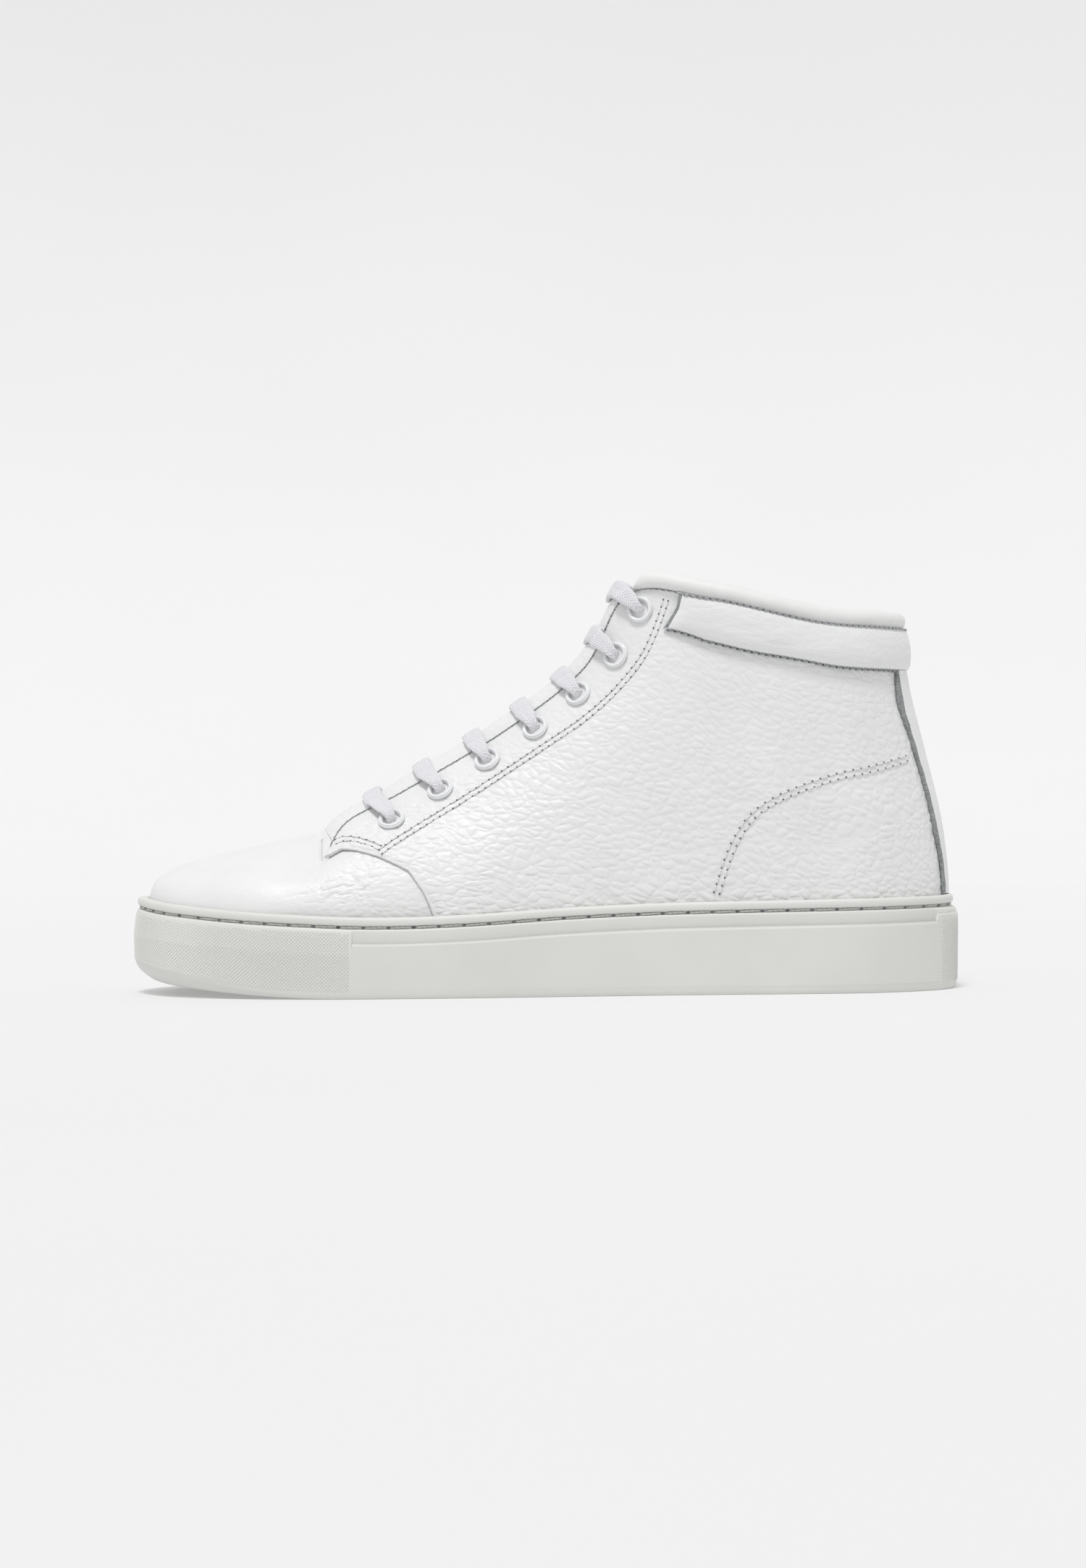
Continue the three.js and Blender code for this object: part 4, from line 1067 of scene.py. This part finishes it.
def lace():
    """A puffy woven band along its route, gathered where it enters an eyelet."""
    knots = lace_knots()
    division, around = 14, 28
    count = (len(knots) - 1) * division + 1
    t = np.linspace(0, len(knots) - 1, count)
    centre = smoothed(along(np.array([k[0] for k in knots]), t), 4)
    wide = smoothed(along(np.array([k[1] for k in knots]), t), 9)
    size = smoothed(along(np.array([k[2:] for k in knots]), t), 7)
    tangent = unit(np.gradient(centre, axis=0))
    wide = unit(wide - tangent * (wide * tangent).sum(-1, keepdims=True))
    thick = np.cross(tangent, wide)
    run = lengths(centre)
    angle = np.linspace(0, 2 * math.pi, around, endpoint=False)
    flat = np.sign(np.cos(angle)) * np.abs(np.cos(angle)) ** 0.85
    bead = np.sign(np.sin(angle)) * np.abs(np.sin(angle)) ** 0.75
    gathered = smoothstep(6.8, 4.4, size[:, :1])
    half_width = size[:, :1] / 2 * 0.96
    half_depth = np.where(size[:, 1:] < 1.35, LACE_PUFF, size[:, 1:] / 2 * 1.1)
    half_depth = smoothed(half_depth, 12)
    wave = value_noise(np.stack([run / 4.5, run * 0, run * 0], -1), 81)[:, None]
    dent = -0.35 * np.exp(-(flat[None] / 0.35) ** 2) * (0.5 + 0.5 * gathered) * np.sign(bead)
    height = bead[None] * half_depth + (dent * half_depth * 0.6) + 0.1 * wave * flat[None]
    weave = 0.07 * np.sin(run[:, None] * math.tau / 1.3 + np.abs(flat[None]) * 5) * np.abs(bead)[None]
    p = centre[:, None] + wide[:, None] * (flat[None] * (half_width + 0.12 * wave))[..., None] \
        + thick[:, None] * (height + weave * np.sign(bead))[..., None]
    points = p.reshape(-1, 3)
    faces = [tube_faces(count, around), np.arange(around)[None, ::-1],
             (count - 1) * around + np.arange(around)[None]]
    attributes = {"run": np.repeat(run, around), "across": (flat[None] * half_width).ravel()}
    ob = mesh_object("lace_woven", points, outward(points, faces), [LACE_MAT], attributes=attributes)
    return finish_piece(ob, "cotton_lace", "lace")


def aglet(name):
    """The film wrapped round one end of the lace."""
    before, end = (k[0] for k in tuck_knots(name)[-2:])
    direction = unit(end - before)
    profile = [(1.0, 0), (1.38, 0.3), (1.4, 1.2), (1.33, 1.6), (1.38, 2.0), (1.3, 11.5), (1.1, 12.6),
               (0.7, 13), (0.05, 13), (0.05, 0)]
    ob = lathe(profile, 32, end + direction * GAP, direction, [FILM], f"aglet_{name}_tip")
    return finish_piece(ob, "aglet_film", f"aglet_{name}")


# ---- cupsole -------------------------------------------------------------------------------------
TOE_PANEL, HEEL_PANEL = -67.5, 137.6
STUD_PITCH, STUD_HEIGHT = 1.25, 0.38
TREAD_ENDS, TREAD_RIM = (-148, 149), 7  # x at both ends of the tread, and the plain rim's width


def ring_row(row, u):
    """The point of one row of the upper at each station."""
    return rings(np.asarray(u, float))[..., row, :]


def plan_normal(u):
    """The level direction straight out of the sole at each station."""
    e = 0.02
    d = ring_row(1, u + e) - ring_row(1, u - e)
    return unit(np.stack([d[..., 1], -d[..., 0], 0 * d[..., 0]], axis=-1))


def underside(x):
    """Height of the tread above the ground, which is the toe spring."""
    return np.where(x < SPRING_START, TOE_SPRING * (np.maximum(SPRING_START - x, 0) / 75) ** 1.7, 0.0)


def station_at(x):
    """Station on the outer side where the sole's edge passes that x."""
    u = np.linspace(0.2, 11.9, 4000)
    return float(np.interp(x, ring_row(1, u)[:, 0], u))


def wall_profile(u, kind):
    """Outward distance and height of each point of the wall at station u, from the ground to the lip."""
    lip = ring_row(1, u)[..., 2]
    from_heel = np.abs(u - HEEL)
    wall = HEEL_WALL + (WALL - HEEL_WALL) * smoothstep(0.5, 2.5, from_heel)
    toe = 1 - smoothstep(0, 3, np.minimum(u, STATIONS - u))
    foot = ring_row(1, u) + plan_normal(u) * (wall - 1.2 - 6 * toe)[..., None]
    under = underside(foot[..., 0])
    groove, ledge = lip - LIP_TO_GROOVE, lip - LIP_TO_LEDGE
    if kind == "toe":
        ridge = lip - 12.8
        waist = [(wall + 0.1, ridge - 1.0), (wall + 0.12, ridge - 0.3), (wall, ridge + 0.5),
                 (wall - 0.5, (ridge + groove) / 2), (wall - 0.9, groove - 1.6)]
    elif kind == "heel":
        waist = [(wall + 0.3, ledge - 1.0), (wall + 0.3, ledge + 1.6), (wall + 0.2, ledge + 3.0),
                 (wall - 0.3, ledge + 3.4), (wall - 0.5, groove - 1.3)]
    else:
        waist = [(wall, ledge - 0.3), (wall - 0.1, ledge - 0.05), (wall - 0.5, ledge + 0.08),
                 (wall - 1.2, ledge + 0.16), (wall - 1.15, groove - 1.6)]
    points = [(wall - 1.5 - 6 * toe, under), (wall - 0.9 - 4.6 * toe, under + 0.12 + 0.5 * toe),
              (wall - 0.35 - 1.2 * toe, under + 0.9 + 3 * toe), (wall - 0.1, under + 2.6 + 4.4 * toe),
              (wall - 0.02, under + 5.2 + 4 * toe), *waist,
              (wall - 1.35, groove - 0.95), (wall - 1.6, groove - 0.7), (wall - 2.3, groove - 0.45),
              (wall - 2.4, groove + 0.1), (wall - 2.1, groove + 0.5), (wall - 1.5, groove + 0.72),
              (wall - 1.25, groove + 1.2), (wall - 1.2, lip - 1.3), (wall - 1.5, lip - 0.45),
              (wall - 2.2, lip), (1.5 + 0 * wall, lip + 0.05), (0.75 + 0 * wall, lip - 0.3),
              (0.5 + 0 * wall, lip - 1.2)]
    return np.stack([np.stack([d + 0 * lip, z + 0 * lip], -1) for d, z in points], axis=-2)


def wall_columns():
    """Stations round the sole, with a pair on each side of every panel edge."""
    marks = []
    for x in (TOE_PANEL, HEEL_PANEL):
        s = station_at(x)
        marks += [s - 0.004, s + 0.004, STATIONS - s - 0.004, STATIONS - s + 0.004]
    every = np.concatenate([np.linspace(0, STATIONS, 1200, endpoint=False), marks])
    return np.sort(every)


def cupsole():
    """Points and quads of the wall, from the ground over the lip and down inside to the floor."""
    u = wall_columns()
    x = ring_row(1, u)[:, 0]
    toe, heel = x < TOE_PANEL, x > HEEL_PANEL
    shapes = {kind: wall_profile(u, kind) for kind in ("toe", "side", "heel")}
    profile = np.where(heel[:, None, None], shapes["heel"], shapes["side"])
    profile = np.where(toe[:, None, None], shapes["toe"], profile)
    last = profile.shape[1] - 1
    fine = np.linspace(0, last, 4 * last + 1)
    profile = along(profile.transpose(1, 0, 2), fine).transpose(1, 0, 2)
    n = plan_normal(u)
    base = ring_row(1, u)
    wall = base[:, None] * np.array([1, 1, 0]) + n[:, None] * profile[..., :1]
    wall[..., 2] = profile[..., 1]
    inside_v = np.array([0.95, 0.7, 0.4, 0.0])
    inside = skin(u[:, None], inside_v[None], np.full((len(u), 4), GAP))
    low = inside[:, -1].copy()
    low[:, 2] = underside(ring_row(0, u)[:, 0]) + FLOOR
    columns = np.concatenate([wall, inside, low[:, None]], axis=1)
    return columns.reshape(-1, 3), grid_faces(len(u), columns.shape[1], closed=True)


def studs_up(profile, odd):
    """Where one column of studs sits on the wall's profile, and how the wall leans there."""
    length = lengths(profile)
    at = np.arange(0.6 + odd * STUD_PITCH / 2, length[-1] - 0.5, STUD_PITCH)

    def point(shift):
        return np.stack([np.interp(at + shift, length, profile[:, k]) for k in (0, 1)], axis=1)
    return point(0), point(0.2) - point(-0.2)


def knurl_studs():
    """Rows of small pyramids on the toe and the heel of the wall."""
    fine_u = np.linspace(0, STATIONS, 6000)
    run = lengths(ring_row(1, fine_u))
    places, frames = [], []
    every_u = np.interp(np.arange(0, run[-1], STUD_PITCH / 2), run, fine_u)
    x = ring_row(1, every_u)[:, 0]
    for kind, keep in (("toe", x < TOE_PANEL - STUD_PITCH), ("heel", x > HEEL_PANEL + 1)):
        number, u = np.flatnonzero(keep), every_u[keep]
        profile = wall_profile(u, kind)[:, 3:10]
        n = plan_normal(u)
        tangent = unit(np.cross([0, 0, 1.0], n))
        for k in range(len(u)):
            place, lean = studs_up(profile[k], number[k] % 2)
            climb = unit(n[k] * lean[:, :1] + np.array([0, 0, 1.0]) * lean[:, 1:])
            foot = ring_row(1, u[k:k + 1]) * np.array([1, 1, 0]) + n[k] * place[:, :1]
            foot[:, 2] = place[:, 1]
            places.append(foot)
            side = np.broadcast_to(tangent[k], climb.shape)
            frames.append(np.stack([side, climb, unit(np.cross(side, climb))], axis=1))
    half = STUD_PITCH * 0.47
    stud = np.array([(half, 0, -0.1), (0, half, -0.1), (-half, 0, -0.1), (0, -half, -0.1),
                     (0, 0, STUD_HEIGHT)])
    corners = np.array([(0, 1, 4), (1, 2, 4), (2, 3, 4), (3, 0, 4)])
    points, faces = copies(stud, corners, np.concatenate(places), np.concatenate(frames))
    ob = mesh_object("wall_studs", points, [faces], [RUBBER])
    ob.data.polygons.foreach_set("use_smooth", np.zeros(len(faces), bool))
    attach(ob, "shoe")


def across_grid(ring_points, divisions):
    """A grid of points from the outer side of a closed outline to the inner side."""
    count = len(ring_points)
    half = count // 2
    left = ring_points[:half + 1]
    right = ring_points[(-np.arange(half + 1)) % count]
    t = np.linspace(0, 1, divisions)[None, :, None]
    return left[:, None] * (1 - t) + right[:, None] * t


def tread_depth(p):
    """Depth in mm of the herringbone grooves in the underside, 0 on the ribs and at the rim."""
    x, y = p[..., 0], p[..., 1]
    zigzag = np.abs(((y + 60) % 14) - 7)
    wave = ((x + zigzag * 0.9) % 5.2) / 5.2
    groove = smoothstep(0.56, 0.66, wave) * (1 - smoothstep(0.9, 1.0, wave))
    return 1.3 * groove


def tread():
    """The underside: a grid across the sole, pressed in by the herringbone grooves."""
    divisions = 300
    u = np.linspace(0, STATIONS, 1400, endpoint=False)
    edge = wall_profile(u, "side")[:, 0]
    outline = ring_row(1, u) * np.array([1, 1, 0]) + plan_normal(u) * edge[:, :1]
    outline[:, 2] = edge[:, 1]
    grid = across_grid(outline, divisions)
    share = np.linspace(0, 1, divisions)[None]
    width = np.linalg.norm(grid[:, 0] - grid[:, -1], axis=-1)[:, None]
    from_side = np.minimum(share, 1 - share) * width
    from_end = np.minimum(grid[..., 0] - TREAD_ENDS[0], TREAD_ENDS[1] - grid[..., 0])
    patterned = smoothstep(TREAD_RIM - 1, TREAD_RIM, np.minimum(from_side, from_end))
    grid[..., 2] = underside(grid[..., 0]) + tread_depth(grid) * patterned
    return mesh_object("cupsole_tread", grid.reshape(-1, 3), [grid_faces(len(grid), divisions)], [TREAD])


def inside_floor():
    """The floor inside the cup, which the filler and the board lie on."""
    divisions = 12
    u = np.linspace(0, STATIONS, 1400, endpoint=False)
    grid = across_grid(skin(u, 0 * u, np.full(u.shape, GAP)), divisions)
    grid[..., 2] = underside(grid[..., 0]) + FLOOR
    faces = grid_faces(len(grid), divisions)[:, ::-1]
    return mesh_object("cupsole_floor", grid.reshape(-1, 3), [faces], [RUBBER])


def build_sole():
    """The cupsole: its wall, its tread and its inside floor, joined into one closed piece."""
    points, sides = cupsole()
    body = mesh_object("cupsole_wall", points, [sides], [RUBBER])
    join([body, tread(), inside_floor()], "cupsole")
    mend(body, 0.00002)
    return finish_piece(body, "sole_rubber", "outsole_cup")


def join(objects, name):
    first = objects[0]
    for ob in bpy.context.selected_objects:
        ob.select_set(False)
    for ob in objects:
        ob.select_set(True)
    bpy.context.view_layer.objects.active = first
    bpy.ops.object.join()
    first.name = name
    first.data.name = name
    return first


# ---- stitching -----------------------------------------------------------------------------------
def stitches(name, places, normals, thread, radius, hump, gap=0.5, slant=0.0, hole=0.42):
    """Threads between needle holes at the given places, and the holes as small dark dots of painted shade,
    as one piece.
    """
    start, end = places[:-1], places[1:]
    normal = unit(normals[:-1] + normals[1:])
    direction = unit(end - start)
    side = unit(np.cross(normal, direction))
    length = np.linalg.norm(end - start, axis=1) - gap
    direction = unit(direction + side * slant)
    frames = np.stack([direction * length[:, None], np.cross(normal, direction) * radius,
                       normal * radius * 0.8], 1)
    middle = (start + end) / 2 + normal * hump
    points, faces = capsule()
    thread_points, thread_faces = copies(points, faces, middle, frames)
    # Each hole is a dark dot just proud of the leather: painted shade in place of the pit.
    dot = np.array([(math.cos(a), math.sin(a), 0) for a in np.linspace(0, 2 * math.pi, 10, endpoint=False)])
    dot = np.concatenate([dot, dot * 0.4 + [0, 0, 0.12], [[0, 0, 0.14]]])
    ring = np.array([(k, (k + 1) % 10, 10 + (k + 1) % 10, 10 + k) for k in range(10)])
    tips = np.array([(10 + k, 10 + (k + 1) % 10, 20) for k in range(10)])
    ahead = unit(np.gradient(places, axis=0))
    around = np.cross(normals, ahead)
    hole_frames = np.stack([ahead * hole * 1.25, around * hole, normals * 0.5], axis=1)
    hole_points, hole_quads = copies(dot, ring, places, hole_frames)
    _, hole_tips = copies(dot, tips, places, hole_frames)
    shift = len(thread_points)
    every = np.concatenate([thread_points, hole_points])
    quads = np.concatenate([thread_faces, hole_quads + shift])
    slots = np.concatenate([np.zeros(len(thread_faces)), np.ones(len(hole_quads)), np.ones(len(hole_tips))])
    ob = mesh_object(name, every, [quads, hole_tips + shift], [thread, HOLE], slots)
    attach(ob, "shoe")


def surface_row(points, pitch, side, offset, shift=0.0):
    """Needle holes along a side-view line on the upper, moved sideways by shift."""
    line = resample(points, pitch)
    if shift:
        ahead = unit(np.gradient(line, axis=0))
        line = line + np.stack([-ahead[:, 1], ahead[:, 0]], axis=1) * shift
    u, v = locate(line[:, 0], line[:, 1])
    v = np.minimum(v, TOP - 0.02)
    place = on_side(u, side)
    return skin(place, v, np.full(u.shape, offset)), skin_frame(place, v)[2]


# Double rows: the line, the distance between its two rows, and the length of a stitch.
DOUBLE_ROWS = {"eyestay": (EYESTAY_ROW, 1.8, 2.7), "eyestay_corner": (CORNER_ROW, -1.6, 2.7),
               "counter": (COUNTER_ROW, 2.1, 3.0)}


def upper_stitching():
    """The double rows on each quarter, and the single row along the throat."""
    for name, side in SIDES.items():
        for label, (line, apart, pitch) in DOUBLE_ROWS.items():
            for k, shift in enumerate((0, apart)):
                places, normals = surface_row(line, pitch, side, -0.06, shift)
                stitches(f"{label}_stitches_{name}_{k + 1}", places, normals, THREAD, 0.3, 0.1, hole=0.34)
        edge_u = np.linspace(THROAT_FROM + 0.2, THROAT_TO - 0.1, 140)
        edge_v = np.full(edge_u.shape, TOP - 0.02)
        place = on_side(edge_u, side)
        p = skin(place, edge_v, np.full(edge_u.shape, 0.05))
        line = resample(p, 2.6)
        at = spread(place, len(line))
        normals = skin_frame(at, np.full(at.shape, TOP - 0.02))[2]
        stitches(f"throat_stitches_{name}", line, normals, GREY_THREAD, 0.3, 0.12, 0.8, hole=0.4)


def collar_stitching():
    """The rows along the collar band's lower edge and along the rolled top edge."""
    u = np.linspace(LOWER_U[0] + 0.02, STATIONS - LOWER_U[0] - 0.02, 400)
    low = band_lower(u)
    line = resample(skin(u, low - 0.03, np.full(u.shape, 0.75)), 2.6)
    at = spread(u, len(line))
    normals = skin_frame(at, band_lower(at) - 0.03)[2]
    stitches("collar_lower_stitches", line, normals, GREY_THREAD, 0.36, 0.2, 0.7, slant=0.35, hole=0.45)
    first = ROLL_FROM + 0.02
    u = np.linspace(first, STATIONS - first, 400)
    over_band = smoothstep(8.6, 8.75, np.minimum(u, STATIONS - u))
    line = resample(skin(u, np.full(u.shape, TOP - 0.012), 0.3 + 2 * over_band) + [0, 0, 0.1], 2.4)
    at = spread(u, len(line))
    normals = unit(skin_frame(at, np.full(at.shape, TOP - 0.02))[2] + np.array([0, 0, 0.5]))
    stitches("collar_upper_stitches", line, normals, GREY_THREAD, 0.32, 0.05, 0.6, slant=0.3, hole=0.4)


GROOVE_PITCH, GROOVE_INSET = 8.8, 2.15


def groove_stitching():
    """The long stitches that hold the upper, down in the sole's groove."""
    u = np.linspace(0, STATIONS, 1500)
    wall = HEEL_WALL + (WALL - HEEL_WALL) * smoothstep(0.5, 2.5, np.abs(u - HEEL))
    base = ring_row(1, u)
    n = plan_normal(u)
    line = base + n * (wall - GROOVE_INSET)[:, None]
    line[:, 2] = base[:, 2] - LIP_TO_GROOVE + 0.05
    places = resample(line[::6], GROOVE_PITCH)
    normals = plan_normal(spread(u, len(places)))
    stitches("groove_stitches", places, normals, SOLE_THREAD, 0.42, 0.22, 1.1, slant=0.04, hole=0.62)


# ---- footbed, and the CAD pieces that stay -------------------------------------------------------
BOARD, FOOTBED, FOOTBED_INSET = 1.4, 3.6, 5.3


def footbed():
    """The soft sock liner, dished, with a low arch."""
    u = np.linspace(0, STATIONS, 900, endpoint=False)
    base = ring_row(0, u)
    n = plan_normal(u)
    rim = base - n * FOOTBED_INSET
    low_z = base[:, 2] + BOARD + GAP
    high = across_grid(rim, 120)
    t = np.linspace(0, 1, 120)[None]
    lift = across_grid(np.stack([0 * low_z, 0 * low_z, low_z + FOOTBED], -1), 120)[..., 2]
    x = high[..., 0]
    bowl = np.sin(np.pi * t) ** 0.5
    arch = 2.5 * np.exp(-((x - 40) / 45) ** 2) * smoothstep(0.55, 1.0, t)
    high[..., 2] = lift + 1.5 * (1 - bowl) + arch * (1 - smoothstep(0.97, 1, t)) - 0.5 \
        + 0.12 * fractal(high / 7, 3, 91)
    low = across_grid(rim, 120)
    low[..., 2] = across_grid(np.stack([0 * low_z, 0 * low_z, low_z], -1), 120)[..., 2]
    ob = shell("footbed_cover", high[::-1], low[::-1], [LINING_MAT, LINING_MAT], bulge=0.2)
    finish_piece(ob, "lining_leather", "footbed")
    return ob


def kept_nodes():
    """Materials for the hidden pieces that stay as their CAD solids."""
    kept = {"midsole_foam": FOAM_MAT, "collar_foam": FOAM_MAT, "lasting_board": BOARD_MAT,
            "toe_puff": STIFF_MAT, "heel_counter": STIFF_MAT, "facing_lateral": STIFF_MAT,
            "facing_medial": STIFF_MAT}
    for name, mat in kept.items():
        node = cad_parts[name]
        node.data.materials.clear()
        node.data.materials.append(mat)


# ---- camera, light and floor ---------------------------------------------------------------------
CAMERA_DISTANCE, CAMERA_HEIGHT, CAMERA_SHIFT_X = 1.354, 0.075, -0.00026
LENS = 85.2  # mm on a 36 mm sensor
CAMERA_ROLL = math.radians(0.45)
ROOM_LIGHT = 0.6
KEY_LIGHT, KEY_SPREAD = 1.6, 14
KEY_DIRECTION = (0.1, 0.35, -0.9)
FLOOR_GLOW = 0.24


def camera():
    data = bpy.data.cameras.new("camera")
    data.lens = LENS
    data.sensor_width = 36
    ob = bpy.data.objects.new("camera", data)
    ob.location = (CAMERA_SHIFT_X, -CAMERA_DISTANCE, CAMERA_HEIGHT)
    ob.matrix_world = (Matrix.Translation(ob.location)
                       @ Matrix.Rotation(math.radians(90), 4, "X") @ Matrix.Rotation(-CAMERA_ROLL, 4, "Z"))
    bpy.context.scene.collection.objects.link(ob)
    bpy.context.scene.camera = ob


def light():
    """A soft sun from above the camera's left shoulder, in an even pale room."""
    scene = bpy.context.scene
    world = bpy.data.worlds.new("studio")
    world.use_nodes = True
    background = world.node_tree.nodes["Background"]
    background.inputs["Color"].default_value = (1, 1, 1, 1)
    background.inputs["Strength"].default_value = ROOM_LIGHT
    scene.world = world
    data = bpy.data.lights.new("key", "SUN")
    data.energy = KEY_LIGHT
    data.angle = math.radians(KEY_SPREAD)
    ob = bpy.data.objects.new("key", data)
    ob.rotation_mode = "QUATERNION"
    ob.rotation_quaternion = Vector(KEY_DIRECTION).to_track_quat("-Z", "Y")
    scene.collection.objects.link(ob)
    scene.view_settings.view_transform = "Standard"


def floor():
    """A pale sweep: a floor that curves up into a backdrop."""
    depth, radius = 2.6, 1.2
    profile = [(-6.0, 0.0), (depth - radius, 0.0)]
    profile += [(depth - radius + radius * math.sin(a), radius - radius * math.cos(a))
                for a in np.linspace(0, math.pi / 2, 24)[1:]]
    profile.append((depth, 6.0))
    xs = np.array([-6.0, 6.0])
    points = np.array([[(x, y, z) for x in xs] for y, z in profile]) / MM
    faces = grid_faces(len(profile), 2)[:, ::-1]
    sweep = mesh_object("floor", points.reshape(-1, 3), [faces], [floor_material()])


def floor_material():
    s = Shader("studio_floor", (0.58, 0.58, 0.58), 0.95, 0.1)
    s.colour(s.noise(3, 2), [(0.3, (0.575, 0.575, 0.577)), (0.7, (0.585, 0.585, 0.585))])
    s.shader.inputs["Emission Color"].default_value = (1, 1, 1, 1)
    s.shader.inputs["Emission Strength"].default_value = FLOOR_GLOW
    return s.material


# ---- assembly ------------------------------------------------------------------------------------
camera()
light()
floor()
build_sole()
knurl_studs()
vamp()
for side_name, side_sign in SIDES.items():
    quarter(f"quarter_{side_name}", side_sign)
lining("vamp_lining_leather", "vamp_lining", -LINING_SEAM, LINING_SEAM, 120, vamp_lining_depth)
lining("quarter_lining_lateral_leather", "quarter_lining_lateral",
       LINING_SEAM + 0.02, HEEL - 0.01, 180, quarter_lining_depth)
lining("quarter_lining_medial_leather", "quarter_lining_medial",
       HEEL + 0.01, STATIONS - LINING_SEAM - 0.02, 180, quarter_lining_depth)
throat_edges()
backstay()
collar_band()
collar_roll()
tongue_piece("tongue_leather", "tongue_outer", [SMOOTH_LEATHER, CUT], 0.0, 1.1, tongue_grain,
             rim=3.05)
tongue_piece("tongue_padding", "tongue_foam", [FOAM_MAT, FOAM_MAT], -1.45, 2.4, no_relief,
             reach=2.4)
tongue_piece("tongue_lining_leather", "tongue_lining", [LINING_MAT, LINING_MAT], -4.2, 0.8,
             no_relief)
tongue_base()
for side_name, side_sign in SIDES.items():
    for row_number in range(len(EYELET_ROWS)):
        eyelet(f"eyelet_{side_name}_{row_number + 1}", Hole(row_number, side_sign))
    aglet(side_name)
lace()
upper_stitching()
collar_stitching()
groove_stitching()
footbed()
kept_nodes()
